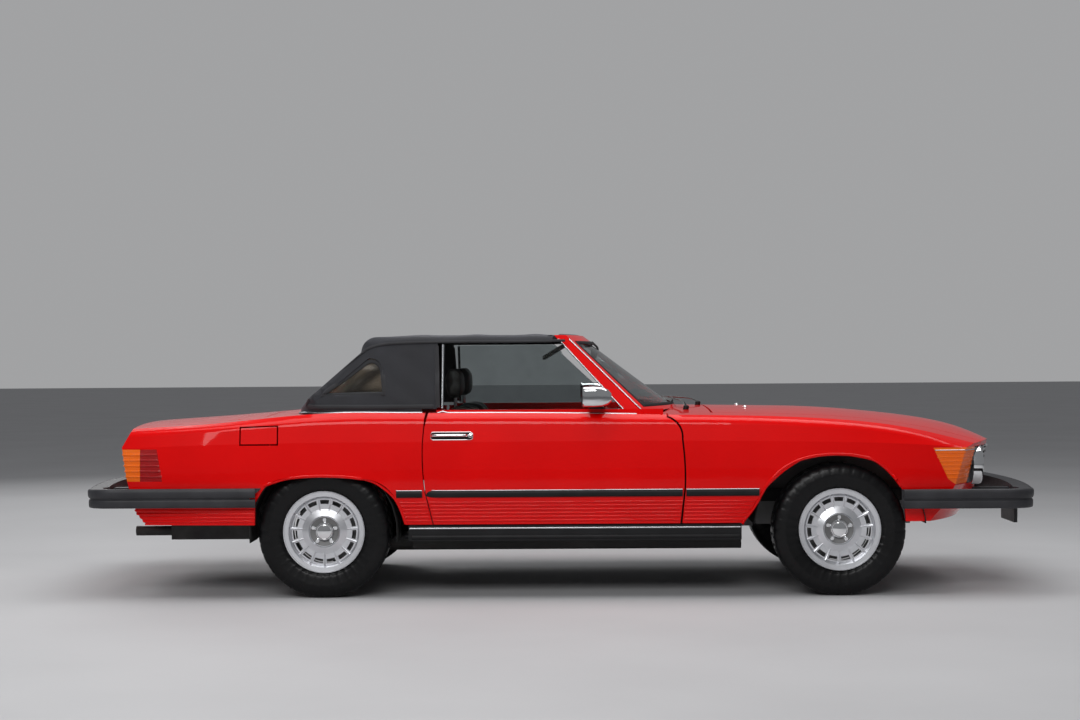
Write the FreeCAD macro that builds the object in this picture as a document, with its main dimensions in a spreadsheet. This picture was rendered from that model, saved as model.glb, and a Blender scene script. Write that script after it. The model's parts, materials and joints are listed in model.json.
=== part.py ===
"""Two-seat convertible car with its fabric roof raised, as an assembly of separate pieces.

Frame: millimetres, +X to the nose, +Y to the car's left, +Z up. The origin is on the floor,
under the middle of the car's overall length and width.
"""
import FreeCAD, Part
import math
import os
import re

import Sketcher
from FreeCAD import Placement, Rotation, Vector

# ---------------------------------------------------------------- driving dimensions
SIZES = [
    # overall
    ("wheelbase", 2456),
    ("front_overhang", 985),
    ("rear_overhang", 1189),
    ("front_track", 1452),
    ("rear_track", 1440),
    # body shell
    ("skin", 22),
    ("sill_z", 352),
    ("waist_z", 513),
    ("waist_tuck", 24),
    ("side_bulge", 3),
    ("shoulder_round", 22),
    # flutes along the lower sides
    ("flute_count", 6),
    ("flute_pitch", 17.4),
    ("flute_height", 7),
    ("flute_depth", 3),
    ("flute_low_z", 358),
    # shut lines
    ("seam", 0.3),
    ("shut_gap", 5),
    ("hinge_gap", 7.5),
    ("lid_gap", 10),
    # nose and tail, as surfaces turned about a vertical line on the centre plane
    ("nose_setback", 150),
    ("nose_turn", 1560),
    ("tail_setback", 165),
    ("tail_turn", 5600),
    # hood, cowl, deck
    ("hood_length", 1425),
    ("hood_half_rear", 690),
    ("hood_half_front", 600),
    ("hood_front_z", 701),
    ("lid_hinge_inset", 120),
    ("lid_hinge_drop", 15),
    ("lid_pin", 4),
    ("lid_eye", 8),
    ("cowl_half", 754),
    ("deck_half", 650),
    ("lid_length", 730),
    ("lid_lip_z", 600),
    ("lamp_bottom_z", 562),
    ("lamp_top_z", 714),
    ("lamp_forward", 230),
    ("lamp_inner_half", 500),
    ("grille_half", 475),
    ("grille_bottom_z", 523),
    ("headlamp_half", 690),
    # doors
    ("door_front", 744),
    ("door_length", 1231),
    ("door_depth", 125),
    ("door_skin", 6),
    ("door_hinge_back", 90),
    ("door_hinge_half", 864),
    ("door_pin", 5),
    ("door_eye", 10),
    ("belt_z", 893),
    ("glass", 5),
    ("window_gap", 12),
    ("window_top_z", 1212),
    ("window_belt_half", 772),
    ("window_top_half", 655),
    # windscreen and roof
    ("screen_foot", 906),
    ("screen_foot_z", 862),
    ("screen_rake", 390),
    ("pillar_foot", 96),
    ("pillar_top", 58),
    ("screen_low_half", 742),
    ("screen_top_half", 600),
    ("screen_low_bow", 214),
    ("screen_top_bow", 87),
    ("pillar_face", 46),
    ("screen_rail_z", 902),
    ("header_z", 1250),
    ("header_height", 35),
    ("roof_wall", 24),
    # wheels
    ("tyre_radius", 315),
    ("tyre_width", 205),
    ("rim_radius", 195),
    ("rim_width", 184),
    ("bead_radius", 178),
    ("hub_bore", 24),
    ("running", 0.06),
    ("slot_count", 15),
    ("slot_radius", 142),
    ("kingpin_y", 640),
    ("kingpin_radius", 14),
    # bumpers
    ("bumper_top_z", 508),
    ("bumper_height", 92),
    ("bumper_bow", 68),
    ("bumper_depth", 75),
    ("bumper_half", 895),
    ("bumper_side", 13),
    ("bumper_edge", 9),
    ("bumper_groove", 8),
    ("plate_width", 310),
    ("plate_height", 200),
    ("plate_top_z", 489),
    ("plate_wall", 5),
    ("bolt_spacing", 177.8),
    ("bolt_radius", 3.2),
    ("bolt_drop", 20),
    # floor
    ("floor_z", 228),
    ("floor_wall", 34),
    ("tub_half", 738),
    ("tunnel_half", 150),
    ("tunnel_z", 430),
    ("firewall_z", 720),
]

doc = FreeCAD.newDocument("Convertible")
sheet = doc.addObject("Spreadsheet::Sheet", "Sizes")
for row, (alias, value) in enumerate(SIZES, start=1):
    sheet.set(f"A{row}", alias)
    sheet.set(f"B{row}", str(value))
    sheet.setAlias(f"B{row}", alias)
doc.recompute()


def size(alias):
    return float(sheet.get(alias))


ALIASES = re.compile(r"\b(" + "|".join(alias for alias, _ in SIZES) + r")\b")


def bind(obj, prop, formula):
    """Binds a property to a formula of sheet aliases."""
    obj.setExpression(prop, ALIASES.sub(r"Sizes.\1", str(formula)))


# ---------------------------------------------------------------- places along the car
LENGTH = size("front_overhang") + size("wheelbase") + size("rear_overhang")
FRONT_AXLE = LENGTH / 2 - size("front_overhang")
REAR_AXLE = FRONT_AXLE - size("wheelbase")
NOSE = LENGTH / 2 - size("nose_setback")
TAIL = -LENGTH / 2 + size("tail_setback")
DOOR_FRONT = FRONT_AXLE - size("door_front")
DOOR_REAR = DOOR_FRONT - size("door_length")
DOOR_HINGE = DOOR_FRONT - size("door_hinge_back")
HOOD_REAR = NOSE - size("hood_length")
LID_FRONT = TAIL + size("lid_length")
AXLE_Z = size("tyre_radius")
SEAM = size("seam")
GAP = size("shut_gap")
FAR = 3000

PARTS = {}


def part(name, obj):
    """Takes obj as the finished sub-part of that name."""
    obj.Label = name
    PARTS[name] = obj
    return obj


# ---------------------------------------------------------------- small modelling tools
def feature(name, shape):
    obj = doc.addObject("Part::Feature", name)
    obj.Shape = shape
    return obj


def edges(points):
    """Edges of a closed outline. A 2-tuple is a corner reached by a line, and a 4-tuple is
    (through u, through v, end u, end v), reached by an arc."""
    made = []
    here = points[0]
    for step in points[1:] + [points[0][-2:]]:
        start, end = Vector(here[-2], here[-1], 0), Vector(step[-2], step[-1], 0)
        if (start - end).Length < 1e-6:
            continue
        if len(step) == 4:
            made.append(Part.Arc(start, Vector(step[0], step[1], 0), end))
        else:
            made.append(Part.LineSegment(start, end))
        here = step
    return made


PLANES = {
    "XY": (Rotation(), Vector(0, 0, 1)),
    "XZ": (Rotation(Vector(1, 0, 0), 90), Vector(0, 1, 0)),
    "YZ": (Rotation(Vector(1, 1, 1), 120), Vector(1, 0, 0)),
}


def prism(name, plane, points, low, high):
    """An outline drawn on a plane through the origin, extruded from low to high across it."""
    sketch = doc.addObject("Sketcher::SketchObject", name + "_outline")
    sketch.Placement = Placement(PLANES[plane][1] * low, PLANES[plane][0])
    sketch.addGeometry(edges(points), False)
    body = doc.addObject("Part::Extrusion", name)
    body.Base = sketch
    body.DirMode = "Custom"
    body.Dir = PLANES[plane][1]
    body.LengthFwd = high - low
    body.Solid = True
    return body


def block(name, x, y, z):
    """A box between two places on each axis, each a number or a formula of sheet aliases."""
    box = doc.addObject("Part::Box", name)
    for prop, at, (low, high) in zip(("Length", "Width", "Height"), "xyz", (x, y, z)):
        bind(box, prop, f"({high}) - ({low})")
        bind(box, f"Placement.Base.{at}", low)
    return box


def box_solid(name, low, high):
    """A plain cutter between two corners."""
    box = doc.addObject("Part::Box", name)
    box.Length, box.Width, box.Height = [b - a for a, b in zip(low, high)]
    box.Placement.Base = Vector(*low)
    return box


def rod(name, radius, start, end):
    """A cylinder between two points; its radius may be a formula."""
    start, end = Vector(*start), Vector(*end)
    cylinder = doc.addObject("Part::Cylinder", name)
    bind(cylinder, "Radius", radius)
    cylinder.Height = (end - start).Length
    cylinder.Placement = Placement(start, Rotation(Vector(0, 0, 1), end - start))
    return cylinder


def fuse(name, *members):
    joined = doc.addObject("Part::MultiFuse", name)
    joined.Shapes = list(members)
    joined.Refine = True
    return joined


def common(name, first, second):
    both = doc.addObject("Part::Common", name)
    both.Base, both.Tool = first, second
    return both


def cut(name, base, *tools):
    for n, tool in enumerate(tools):
        taken = doc.addObject("Part::Cut", name if n == len(tools) - 1 else f"{name}_{n}")
        taken.Base, taken.Tool = base, tool
        base = taken
    return base


def mirrored(name, source):
    """The same piece on the car's other side."""
    twin = doc.addObject("Part::Mirroring", name)
    twin.Source = source
    twin.Base, twin.Normal = Vector(), Vector(0, 1, 0)
    return twin


def both_sides(name, source):
    pair = doc.addObject("Part::Compound", name)
    pair.Links = [source, mirrored(name + "_twin", source)]
    return pair


def group(name, *members):
    pair = doc.addObject("Part::Compound", name)
    pair.Links = list(members)
    return pair


# ---------------------------------------------------------------- body master surfaces
# One row per cross-section, nose to tail. Widths are half-widths.
# axle, ahead of it, waist y, crease y, crease z, fold y, fold z, belt y, belt z, crown z
SECTIONS = [
    ("front", 850, 770, 762, 650, 735, 664, 680, 676, 700),
    ("front", 650, 808, 800, 690, 775, 697, 722, 718, 792),
    ("front", 450, 836, 829, 712, 806, 746, 752, 770, 832),
    ("front", 0, 870, 863, 732, 842, 815, 795, 837, 877),
    ("front", -430, 882, 875, 740, 858, 838, 815, 858, 888),
    ("front", -742, 885, 878, 744, 862, 843, 826, 864, 892),
    ("front", -1360, 887, 880, 744, 864, 848, 832, 876, 890),
    ("rear", 486, 887, 880, 744, 864, 852, 832, 880, 892),
    ("rear", 0, 885, 878, 744, 862, 850, 828, 880, 892),
    ("rear", -400, 870, 862, 738, 846, 826, 800, 846, 866),
    ("rear", -800, 838, 830, 726, 812, 800, 762, 818, 838),
    ("rear", -1060, 800, 790, 714, 772, 775, 718, 792, 816),
]


# where an arc that rounds a corner passes, as a share of the way in from the corner
ROUND_SHARE = 0.26


def mirror_point(point):
    return Vector(point.x, -point.y, point.z)


def line_or_arc(start, through, end):
    if through is None:
        return Part.LineSegment(start, end).toShape()
    return Part.Arc(start, through, end).toShape()


def section_wire(row, inset):
    """One cross-section drawn inset from the skin. Insets over zero are open below the sill."""
    axle, ahead, waist, crease, crease_z, fold, fold_z, belt, belt_z, crown_z = row
    x = (FRONT_AXLE if axle == "front" else REAR_AXLE) + ahead
    foot_z = size("sill_z") - (200 if inset else 0)
    tuck = size("waist_tuck") * (size("waist_z") - foot_z) / (size("waist_z") - size("sill_z"))
    corner = Vector(x, inset - fold, fold_z - inset * 0.3)
    foot = Vector(x, inset + tuck - waist, foot_z)
    hip = Vector(x, inset - waist, size("waist_z"))
    shoulder = Vector(x, inset - crease, crease_z)
    belt_end = Vector(x, inset - belt, belt_z - inset)
    below = corner + (shoulder - corner).normalize() * size("shoulder_round")
    above = corner + (belt_end - corner).normalize() * size("shoulder_round")
    right = [
        (foot, None, hip),
        (hip, (hip + shoulder) / 2 - Vector(0, size("side_bulge"), 0), shoulder),
        (shoulder, None, below),
        (below, corner + (below + above - corner * 2) * ROUND_SHARE, above),
        (above, None, belt_end),
    ]
    left = [[None if p is None else mirror_point(p) for p in reversed(edge)]
            for edge in reversed(right)]
    crown = (belt_end, Vector(x, 0, crown_z - inset), mirror_point(belt_end))
    closing = (mirror_point(foot), None, foot)
    return Part.Wire([line_or_arc(*edge) for edge in [*right, crown, *left, closing]])


def turned(axis_x, profile):
    """A solid turned about the vertical line at axis_x, from (reach, z) corners."""
    corners = [Vector(axis_x, 0, profile[0][1])]
    corners += [Vector(axis_x + reach, 0, z) for reach, z in profile]
    corners += [Vector(axis_x, 0, profile[-1][1]), corners[0]]
    face = Part.Face(Part.makePolygon(corners))
    return face.revolve(Vector(axis_x, 0, 0), Vector(0, 0, 1), 360)


# How far the nose and tail stand back from their foremost line, at each height: (z, back)
NOSE_PROFILE = [(100, 190), (352, 150), (412, 105), (523, 45), (726, 0), (1300, 0)]
TAIL_PROFILE = [(100, 150), (361, 106), (412, 64), (570, 23), (724, 0), (850, 73), (1300, 333)]


def body_volume(inset):
    """The closed body as it would be without wheel arches or openings."""
    whole = Part.makeLoft([section_wire(row, inset) for row in SECTIONS], True)
    nose_axis = NOSE - size("nose_turn")
    reach = [(size("nose_turn") - back - inset, z) for z, back in NOSE_PROFILE]
    ahead = Part.makeBox(FAR, FAR, FAR, Vector(FRONT_AXLE + 300, -FAR / 2, -FAR / 2))
    whole = whole.cut(ahead.cut(turned(nose_axis, reach)))
    tail_axis = TAIL + size("tail_turn")
    reach = [(-(size("tail_turn") - back - inset), z) for z, back in TAIL_PROFILE]
    behind = Part.makeBox(FAR, FAR, FAR, Vector(REAR_AXLE - 500 - FAR, -FAR / 2, -FAR / 2))
    return whole.cut(behind.cut(turned(tail_axis, reach)))


outer = feature("Body_outer", body_volume(0))
inner = feature("Body_inner", body_volume(size("skin")))
thin_inner = feature("Body_door_inner", body_volume(size("door_skin")))
shell = cut("Body_shell", outer, inner)


def flutes():
    """Cutters for the flutes, as slices of a thin layer that follows the skin."""
    layer = cut("Flute_layer", feature("Flute_over", body_volume(-2)),
                feature("Flute_under", body_volume(size("flute_depth"))))
    low, high = size("flute_low_z"), size("flute_height")
    slices = [box_solid(f"Flute_slice_{n}", (-FAR, -FAR, low + n * size("flute_pitch")),
                        (FRONT_AXLE, FAR, low + n * size("flute_pitch") + high))
              for n in range(int(size("flute_count")))]
    return common("Flutes", layer, group("Flute_slices", *slices))


ribbing = flutes()

# ---------------------------------------------------------------- shut lines
def shifted(points, dx, dz=0):
    """An outline moved in its own plane."""
    return [tuple(v + (dx if n % 2 == 0 else dz) for n, v in enumerate(p)) for p in points]


FRONT_ARCH = [(-470, 200), (-463, 337), (-350, 520, -191, 644), (-10, 668, 151, 642),
              (246, 573, 300, 480), (325, 200)]
REAR_ARCH = [(-330, 200), (-320, 460), (-281, 521), (-230, 562, -140, 572), (30, 581, 180, 571),
             (300, 535, 353, 472), (385, 400, 396, 337), (396, 200)]


def door_outline(inset, front_inset):
    """The door's side view, drawn in from its shut line by inset, and by more at the front."""
    front, rear = DOOR_FRONT - front_inset, DOOR_REAR + inset
    return [
        (rear + 48, size("sill_z") + inset - 30),
        (rear + 48, size("sill_z") + inset),
        (rear + 12, 504),
        (rear, 640, rear, 736),
        (rear + 6, 811),
        (rear + 54, 1000),
        (front - 75, 1000),
        (front - 75, 852),
        (front - 26, 820, front - 6, 751),
        (front + 5, 620, front + 5, 525),
        (front - 15, size("sill_z") + inset),
        (front - 15, size("sill_z") + inset - 30),
    ]


def side_prism(name, points, inner_y, outer_y=-FAR):
    """An outline in side view, extruded across the car's right side."""
    return prism(name, "XZ", points, outer_y, inner_y)


def hood_plan(grow):
    rear, front = size("hood_half_rear") + grow, size("hood_half_front") + grow
    back = HOOD_REAR - grow * size("lid_gap") / GAP
    return [(back, -rear), (NOSE - 75, -front), (FAR, -front), (FAR, front), (NOSE - 75, front),
            (back, rear)]


def cowl_plan(grow):
    wide, narrow = size("cowl_half") + grow, size("hood_half_rear") + 5 + grow
    front, back = HOOD_REAR - size("lid_gap"), HOOD_REAR - 150
    return [(front, -narrow), (front, narrow), (back, wide), (300, wide), (300, -wide),
            (back, -wide)]


def lid_plan(grow):
    front, wide = LID_FRONT + grow * size("lid_gap") / GAP, size("deck_half") + grow
    return [(-FAR, -wide), (front, -wide), (front, wide), (-FAR, wide)]


hood_cut = prism("Hood_cut", "XY", hood_plan(GAP), size("hood_front_z") - GAP, FAR)
hood_form = prism("Hood_form", "XY", hood_plan(0), size("hood_front_z"), FAR)
cowl_cut = prism("Cowl_cut", "XY", cowl_plan(SEAM), 600, FAR)
cowl_form = prism("Cowl_form", "XY", cowl_plan(0), 600, FAR)
lid_cut = prism("Lid_cut", "XY", lid_plan(GAP), size("lid_lip_z") - GAP, FAR)
lid_form = prism("Lid_form", "XY", lid_plan(0), size("lid_lip_z"), FAR)
front_arch = prism("Front_arch", "XZ", shifted(FRONT_ARCH, FRONT_AXLE), -FAR, FAR)
rear_arch = prism("Rear_arch", "XZ", shifted(REAR_ARCH, REAR_AXLE), -FAR, FAR)

CABIN_REAR = REAR_AXLE - 100
cabin_cut = box_solid("Cabin_cut", (CABIN_REAR, -size("window_belt_half") - 8, 600),
                          (DOOR_FRONT - 60, size("window_belt_half") + 8, FAR))

# the lamps' places, in side view
LAMP_FRONT = TAIL + size("lamp_forward")


def lamp_outline(grow):
    low, high = size("lamp_bottom_z") - grow, size("lamp_top_z") + grow
    return [(-FAR, low), (LAMP_FRONT + 27 + grow, low), (LAMP_FRONT + grow, high), (-FAR, high)]


def grown_signal(grow):
    return [(443 - grow, 700 + grow), (FAR, 692 + grow), (FAR, 544 - grow),
            (547 - grow, 527 - grow), (512 - grow, 552)]


NOSE_BOX = NOSE - 230
signal_cut = side_prism("Signal_cut", shifted(grown_signal(SEAM), FRONT_AXLE),
                        -size("headlamp_half") + SEAM)
signal_form = side_prism("Signal_form", shifted(grown_signal(0), FRONT_AXLE),
                         -size("headlamp_half"))
nose_cut = box_solid("Nose_cut", (NOSE_BOX, -size("headlamp_half"), size("grille_bottom_z")),
                     (FAR, size("headlamp_half"), size("hood_front_z")))
lamp_cut = side_prism("Lamp_cut", lamp_outline(SEAM), -size("lamp_inner_half") + SEAM)
lamp_form = side_prism("Lamp_form", lamp_outline(0), -size("lamp_inner_half"))


# ---------------------------------------------------------------- body panels
FENDER = [(DOOR_FRONT - 75 + size("hinge_gap"), 1000),
          (DOOR_FRONT - 75 + size("hinge_gap"), 852 + 7),
          (DOOR_FRONT - 19, 825, DOOR_FRONT + 2, 751),
          (DOOR_FRONT + 5 + size("hinge_gap"), 620, DOOR_FRONT + 5 + size("hinge_gap"), 525),
          (DOOR_FRONT - 8, size("sill_z") - 30), (FAR, size("sill_z") - 30), (FAR, 1000)]
fender_form = side_prism("Fender_form", FENDER, 0)
valance_form = box_solid("Valance_form", (FRONT_AXLE + 310, -FAR, 100), (FAR, FAR, 412))
valance_cut = box_solid("Valance_cut", (FRONT_AXLE + 310 - SEAM, -FAR, 100), (FAR, FAR, 412 + SEAM))

fender = cut("Fender_panel", common("Fender_raw", shell, fender_form),
             hood_cut, cowl_cut, front_arch, signal_cut, nose_cut, valance_cut, ribbing)

QUARTER = [(-FAR, 300), (DOOR_REAR + 48 - GAP, 300), (DOOR_REAR + 48 - GAP, size("sill_z")),
           (DOOR_REAR + 12 - GAP, 504), (DOOR_REAR - GAP, 640, DOOR_REAR - GAP, 736),
           (DOOR_REAR + 6 - GAP, 811), (DOOR_REAR + 26 - GAP, 1000), (-FAR, 1000)]
quarter_form = side_prism("Quarter_form", QUARTER, 0)
panel_form = box_solid("Tail_form", (-FAR, -650, 100), (TAIL + 300, 650, size("lid_lip_z") - GAP))
panel_cut = box_solid("Tail_cut", (-FAR, -650 - SEAM, 100),
                      (TAIL + 300, 650 + SEAM, size("lid_lip_z") - GAP + SEAM))
deck_form = box_solid("Deck_form", (LID_FRONT + size("lid_gap"), -size("deck_half"), 600),
                      (CABIN_REAR, size("deck_half"), FAR))
deck_cut = box_solid("Deck_cut", (LID_FRONT + size("lid_gap") - SEAM, -size("deck_half") - SEAM, 600),
                     (FAR, size("deck_half") + SEAM, FAR))


def flap_outline(grow):
    """Side view of the filler flap, grown outwards."""
    low, high = REAR_AXLE - 387 - grow, REAR_AXLE - 214 + grow
    return [(low, 738 - grow), (high, 738 - grow), (high, 820 + grow), (low, 814 + grow)]


FLAP_GAP = 6.5
flap_cut = side_prism("Flap_cut", flap_outline(FLAP_GAP), -600)

quarter = cut("Quarter_panel", common("Quarter_raw", shell, quarter_form),
              rear_arch, lid_cut, deck_cut, cabin_cut, lamp_cut, panel_cut, ribbing)

HOOD_HINGE = (HOOD_REAR + size("lid_hinge_inset"), 868 - size("lid_hinge_drop"))
LID_HINGE = (LID_FRONT - size("lid_hinge_inset"), 854 - size("lid_hinge_drop"))


def pin_with_foot(name, centre, foot_y, tip_y, top_z):
    """A hinge pin on a bracket hung under the panel's edge."""
    x, z = centre
    foot = box_solid(name + "_foot", (x - 14, -foot_y - 16, z - 12), (x + 14, -foot_y, top_z))
    return fuse(name, foot, rod(name + "_pin", "lid_pin", (x, -foot_y - 8, z), (x, -tip_y, z)))


hood_pin_y = size("hood_half_rear") - 12
fender_right = fuse("Fender_with_pin", fender,
                    pin_with_foot("Hood_pin", HOOD_HINGE, hood_pin_y + 8, hood_pin_y - 40,
                                  HOOD_HINGE[1] + 8))
lid_pin_y = size("deck_half") + 4
quarter_pinned = fuse("Quarter_with_pin", quarter,
                      pin_with_foot("Lid_pin", LID_HINGE, lid_pin_y + 4, lid_pin_y - 52,
                                    LID_HINGE[1] + 12))
FLAP_HINGE_X = REAR_AXLE - 214 - 34


def flap_axis(z):
    """A point of the flap's hinge line, which leans in with the body side."""
    return FLAP_HINGE_X, -858 + (z - 744) * 16 / 92, z


flap_pin = rod("Flap_pin", 3, flap_axis(738 - FLAP_GAP - 8), flap_axis(820 + FLAP_GAP + 8))
part("front_fender_right", fender_right)
part("front_fender_left", mirrored("Fender_left", fender_right))
part("rear_quarter_right", fuse("Quarter_right", cut("Quarter_open", quarter_pinned, flap_cut),
                                flap_pin))
part("rear_quarter_left", mirrored("Quarter_left", quarter_pinned))


def eye(name, radius, pin, start, end):
    """A hinge eye running on a pin between two points."""
    return rod(name, radius, start, end), rod(name + "_bore", f"{pin} + running", start, end)


def lid_with_eyes(name, panel, centre, inner_y, outer_y):
    """A lid with an eye on each side, in a pocket under its skin."""
    x, z = centre
    pieces, bores = [], []
    pockets = [box_solid(f"{name}_pocket_{side}", (x - 20, min(side * (inner_y - 10), side * FAR), 0),
                         (x + 20, max(side * (inner_y - 10), side * FAR), z + 9))
               for side in (-1, 1)]
    pieces.append(cut(name + "_pocketed", panel, *pockets))
    for side in (-1, 1):
        label = f"{name}_{'right' if side < 0 else 'left'}"
        start, end = (x, side * inner_y, z), (x, side * outer_y, z)
        barrel, bore = eye(label, "lid_eye", "lid_pin", start, end)
        low, high = sorted((side * inner_y, side * outer_y))
        web = box_solid(label + "_web", (x - 8, low, z), (x + 8, high, z + 11))
        pieces += [barrel, web]
        bores.append(bore)
    return cut(name, fuse(name + "_solid", *pieces), *bores)


hood_panel = common("Hood_panel", shell, hood_form)
part("hood", lid_with_eyes("Hood", hood_panel, HOOD_HINGE, hood_pin_y - 38, hood_pin_y - 8))
lid_panel = cut("Lid_panel", common("Lid_raw", shell, lid_form),
                both_sides("Lamp_pair_cut", lamp_cut))
part("boot_lid", lid_with_eyes("Boot_lid", lid_panel, LID_HINGE, lid_pin_y - 50, lid_pin_y - 16))
part("rear_deck", common("Rear_deck", shell, deck_form))
part("rear_panel", cut("Rear_panel", common("Tail_panel_raw", shell, panel_form),
                       both_sides("Lamp_pair_cut_low", lamp_cut), ribbing))
part("front_valance", cut("Front_valance", common("Valance_raw", shell, valance_form),
                          front_arch))
part("tail_lamps", both_sides("Tail_lamps", common("Tail_lamp", shell, lamp_form)))
part("front_signals", both_sides("Front_signals", cut(
    "Front_signal", common("Signal_raw", shell, signal_form), hood_cut)))

# the nose between the fenders
NOSE_MID = size("grille_half")
nose_raw = common("Nose_raw", shell, nose_cut)
grille_box = box_solid("Grille_box", (NOSE_BOX, -NOSE_MID, size("grille_bottom_z") + SEAM),
                       (FAR, NOSE_MID, size("hood_front_z") - GAP))
lamp_box = box_solid("Headlamp_box", (NOSE_BOX, -size("headlamp_half") + SEAM,
                                      size("grille_bottom_z") + SEAM),
                     (FAR, -NOSE_MID - SEAM, size("hood_front_z") - GAP))
part("headlamps", both_sides("Headlamps", cut("Headlamp", common(
    "Headlamp_raw", nose_raw, lamp_box), hood_cut)))
slots = [box_solid(f"Grille_slot_{n}", (NOSE_BOX, -NOSE_MID + 20, 540 + 26 * n),
                   (FAR, NOSE_MID - 20, 556 + 26 * n)) for n in range(6)]
part("grille", cut("Grille", common("Grille_raw", nose_raw, grille_box), group("Slots", *slots)))

# ---------------------------------------------------------------- filler flap
flap_panel = common("Flap_panel", cut("Flap_shell", outer, thin_inner),
                    side_prism("Flap_form", flap_outline(0), -600))
flap_eye = rod("Flap_eye", 6, flap_axis(745), flap_axis(800))
flap_bore = rod("Flap_bore", "3 + running", flap_axis(745), flap_axis(800))
part("filler_flap", cut("Filler_flap", fuse("Flap_solid", flap_panel, flap_eye), flap_bore))

# ---------------------------------------------------------------- screen
RAIL_DEPTH = 44


def crescent(z, half, front, rear):
    """A bowed strip at height z between two arcs, each given as (x at its ends, x at its middle)."""
    ahead = Part.Arc(Vector(front[0], -half, z), Vector(front[1], 0, z), Vector(front[0], half, z))
    behind = Part.Arc(Vector(rear[0], half, z), Vector(rear[1], 0, z), Vector(rear[0], -half, z))
    left = Part.makeLine(Vector(front[0], half, z), Vector(rear[0], half, z))
    right = Part.makeLine(Vector(rear[0], -half, z), Vector(front[0], -half, z))
    return Part.Wire([ahead.toShape(), left, behind.toShape(), right])


def screen_slab(low_z, high_z, drawn_in, front_back, rear_back, full_depth=False):
    """A raked, bowed slab between two distances behind the screen's front face. At full depth
    the rear distance is measured from the frame's rear face."""
    rows = []
    for z in (low_z, high_z):
        up = (z - size("screen_foot_z")) / (size("header_z") - size("screen_foot_z"))
        half = size("screen_low_half") + (size("screen_top_half") - size("screen_low_half")) * up
        ends = FRONT_AXLE - size("screen_foot") - size("screen_rake") * up
        middle = ends + size("screen_low_bow") + (size("screen_top_bow") - size("screen_low_bow")) * up
        rear = [ends - rear_back, middle - rear_back]
        if full_depth:
            rear[0] -= size("pillar_foot") + (size("pillar_top") - size("pillar_foot")) * up
            rear[1] -= RAIL_DEPTH
        rows.append(crescent(z, half - drawn_in, (ends - front_back, middle - front_back), rear))
    return Part.makeLoft(rows, True, True)


GLASS_BACK = 18
FOOT_Z, HEADER_Z = size("screen_foot_z"), size("header_z")
PANE_LOW, PANE_HIGH = size("screen_rail_z"), HEADER_Z - size("header_height")
frame_slab = feature("Screen_slab", screen_slab(FOOT_Z, HEADER_Z, 0, 0, 0, True))
opening = feature("Screen_opening",
                  screen_slab(PANE_LOW, PANE_HIGH, size("pillar_face"), -60, 60, True))
pane = feature("Screen_pane", screen_slab(PANE_LOW + SEAM, PANE_HIGH - SEAM,
                                          size("pillar_face") + SEAM, GLASS_BACK,
                                          GLASS_BACK + size("glass")))
behind_screen = feature("Behind_screen", screen_slab(500, 1400, -300, 30, 1500))
header_side = size("screen_top_half") - 2
ahead_of_header = group(
    "Ahead_of_header", feature("Ahead_of_frame", screen_slab(500, 1400, 0, -900, SEAM, True)),
    both_sides("Beside_header", box_solid("Beside_header_raw", (-30, -FAR, 500),
                                          (600, -header_side, 1400))))
body_top = feature("Body_top", body_volume(-SEAM))
part("windscreen_frame", cut("Windscreen_frame", frame_slab, opening, body_top))
part("windscreen_glass", cut("Windscreen_glass", pane, body_top))
part("cowl", cut("Cowl", common("Cowl_raw", shell, cowl_form), behind_screen))

# ---------------------------------------------------------------- doors
thin_shell = cut("Thin_shell", outer, thin_inner)
DOOR_INNER = size("door_hinge_half") - (size("door_depth") - 21)
door_skin = common("Door_skin", thin_shell,
                   side_prism("Door_form", door_outline(0, 0), -DOOR_INNER))
door_box = common("Door_box", outer, side_prism(
    "Door_box_form", door_outline(12, size("door_hinge_back") + 24), -DOOR_INNER))
RAIL_FRONT = DOOR_FRONT - 90
belt_rail = box_solid("Belt_rail", (DOOR_REAR + 60, -DOOR_INNER - 44, 850),
                      (RAIL_FRONT, -DOOR_INNER - 4, size("belt_z")))
HINGE_LEVELS = (530, 650)
door_pieces, door_bores, leaves = [door_skin, door_box, belt_rail], [], []
half_hinge = size("door_hinge_half")
for level, low in enumerate(HINGE_LEVELS):
    start = (DOOR_HINGE, -half_hinge, low)
    knuckle_end = (DOOR_HINGE, -half_hinge, low + 36)
    leaf_end = (DOOR_HINGE, -half_hinge, low - 36)
    door_pieces += [rod(f"Door_eye_{level}", "door_eye", start, knuckle_end),
                    box_solid(f"Door_leaf_{level}", (DOOR_HINGE - 50, -half_hinge - 4, low),
                              (DOOR_HINGE, -half_hinge + 8, low + 36))]
    door_bores.append(rod(f"Door_bore_{level}", "door_pin + running", start, knuckle_end))
    leaves += [rod(f"Hinge_pin_{level}", "door_pin", leaf_end, knuckle_end),
               rod(f"Hinge_eye_{level}", "door_eye", leaf_end, (*start[:2], low - SEAM)),
               box_solid(f"Hinge_leaf_{level}", (DOOR_HINGE - 7, -half_hinge, low - 36),
                         (DOOR_HINGE + 7, -size("tub_half"), low - SEAM))]
door_right = cut("Door_right", fuse("Door_solid", *door_pieces), *door_bores, ribbing)
part("door_right", door_right)
part("door_left", mirrored("Door_left", door_right))

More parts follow.
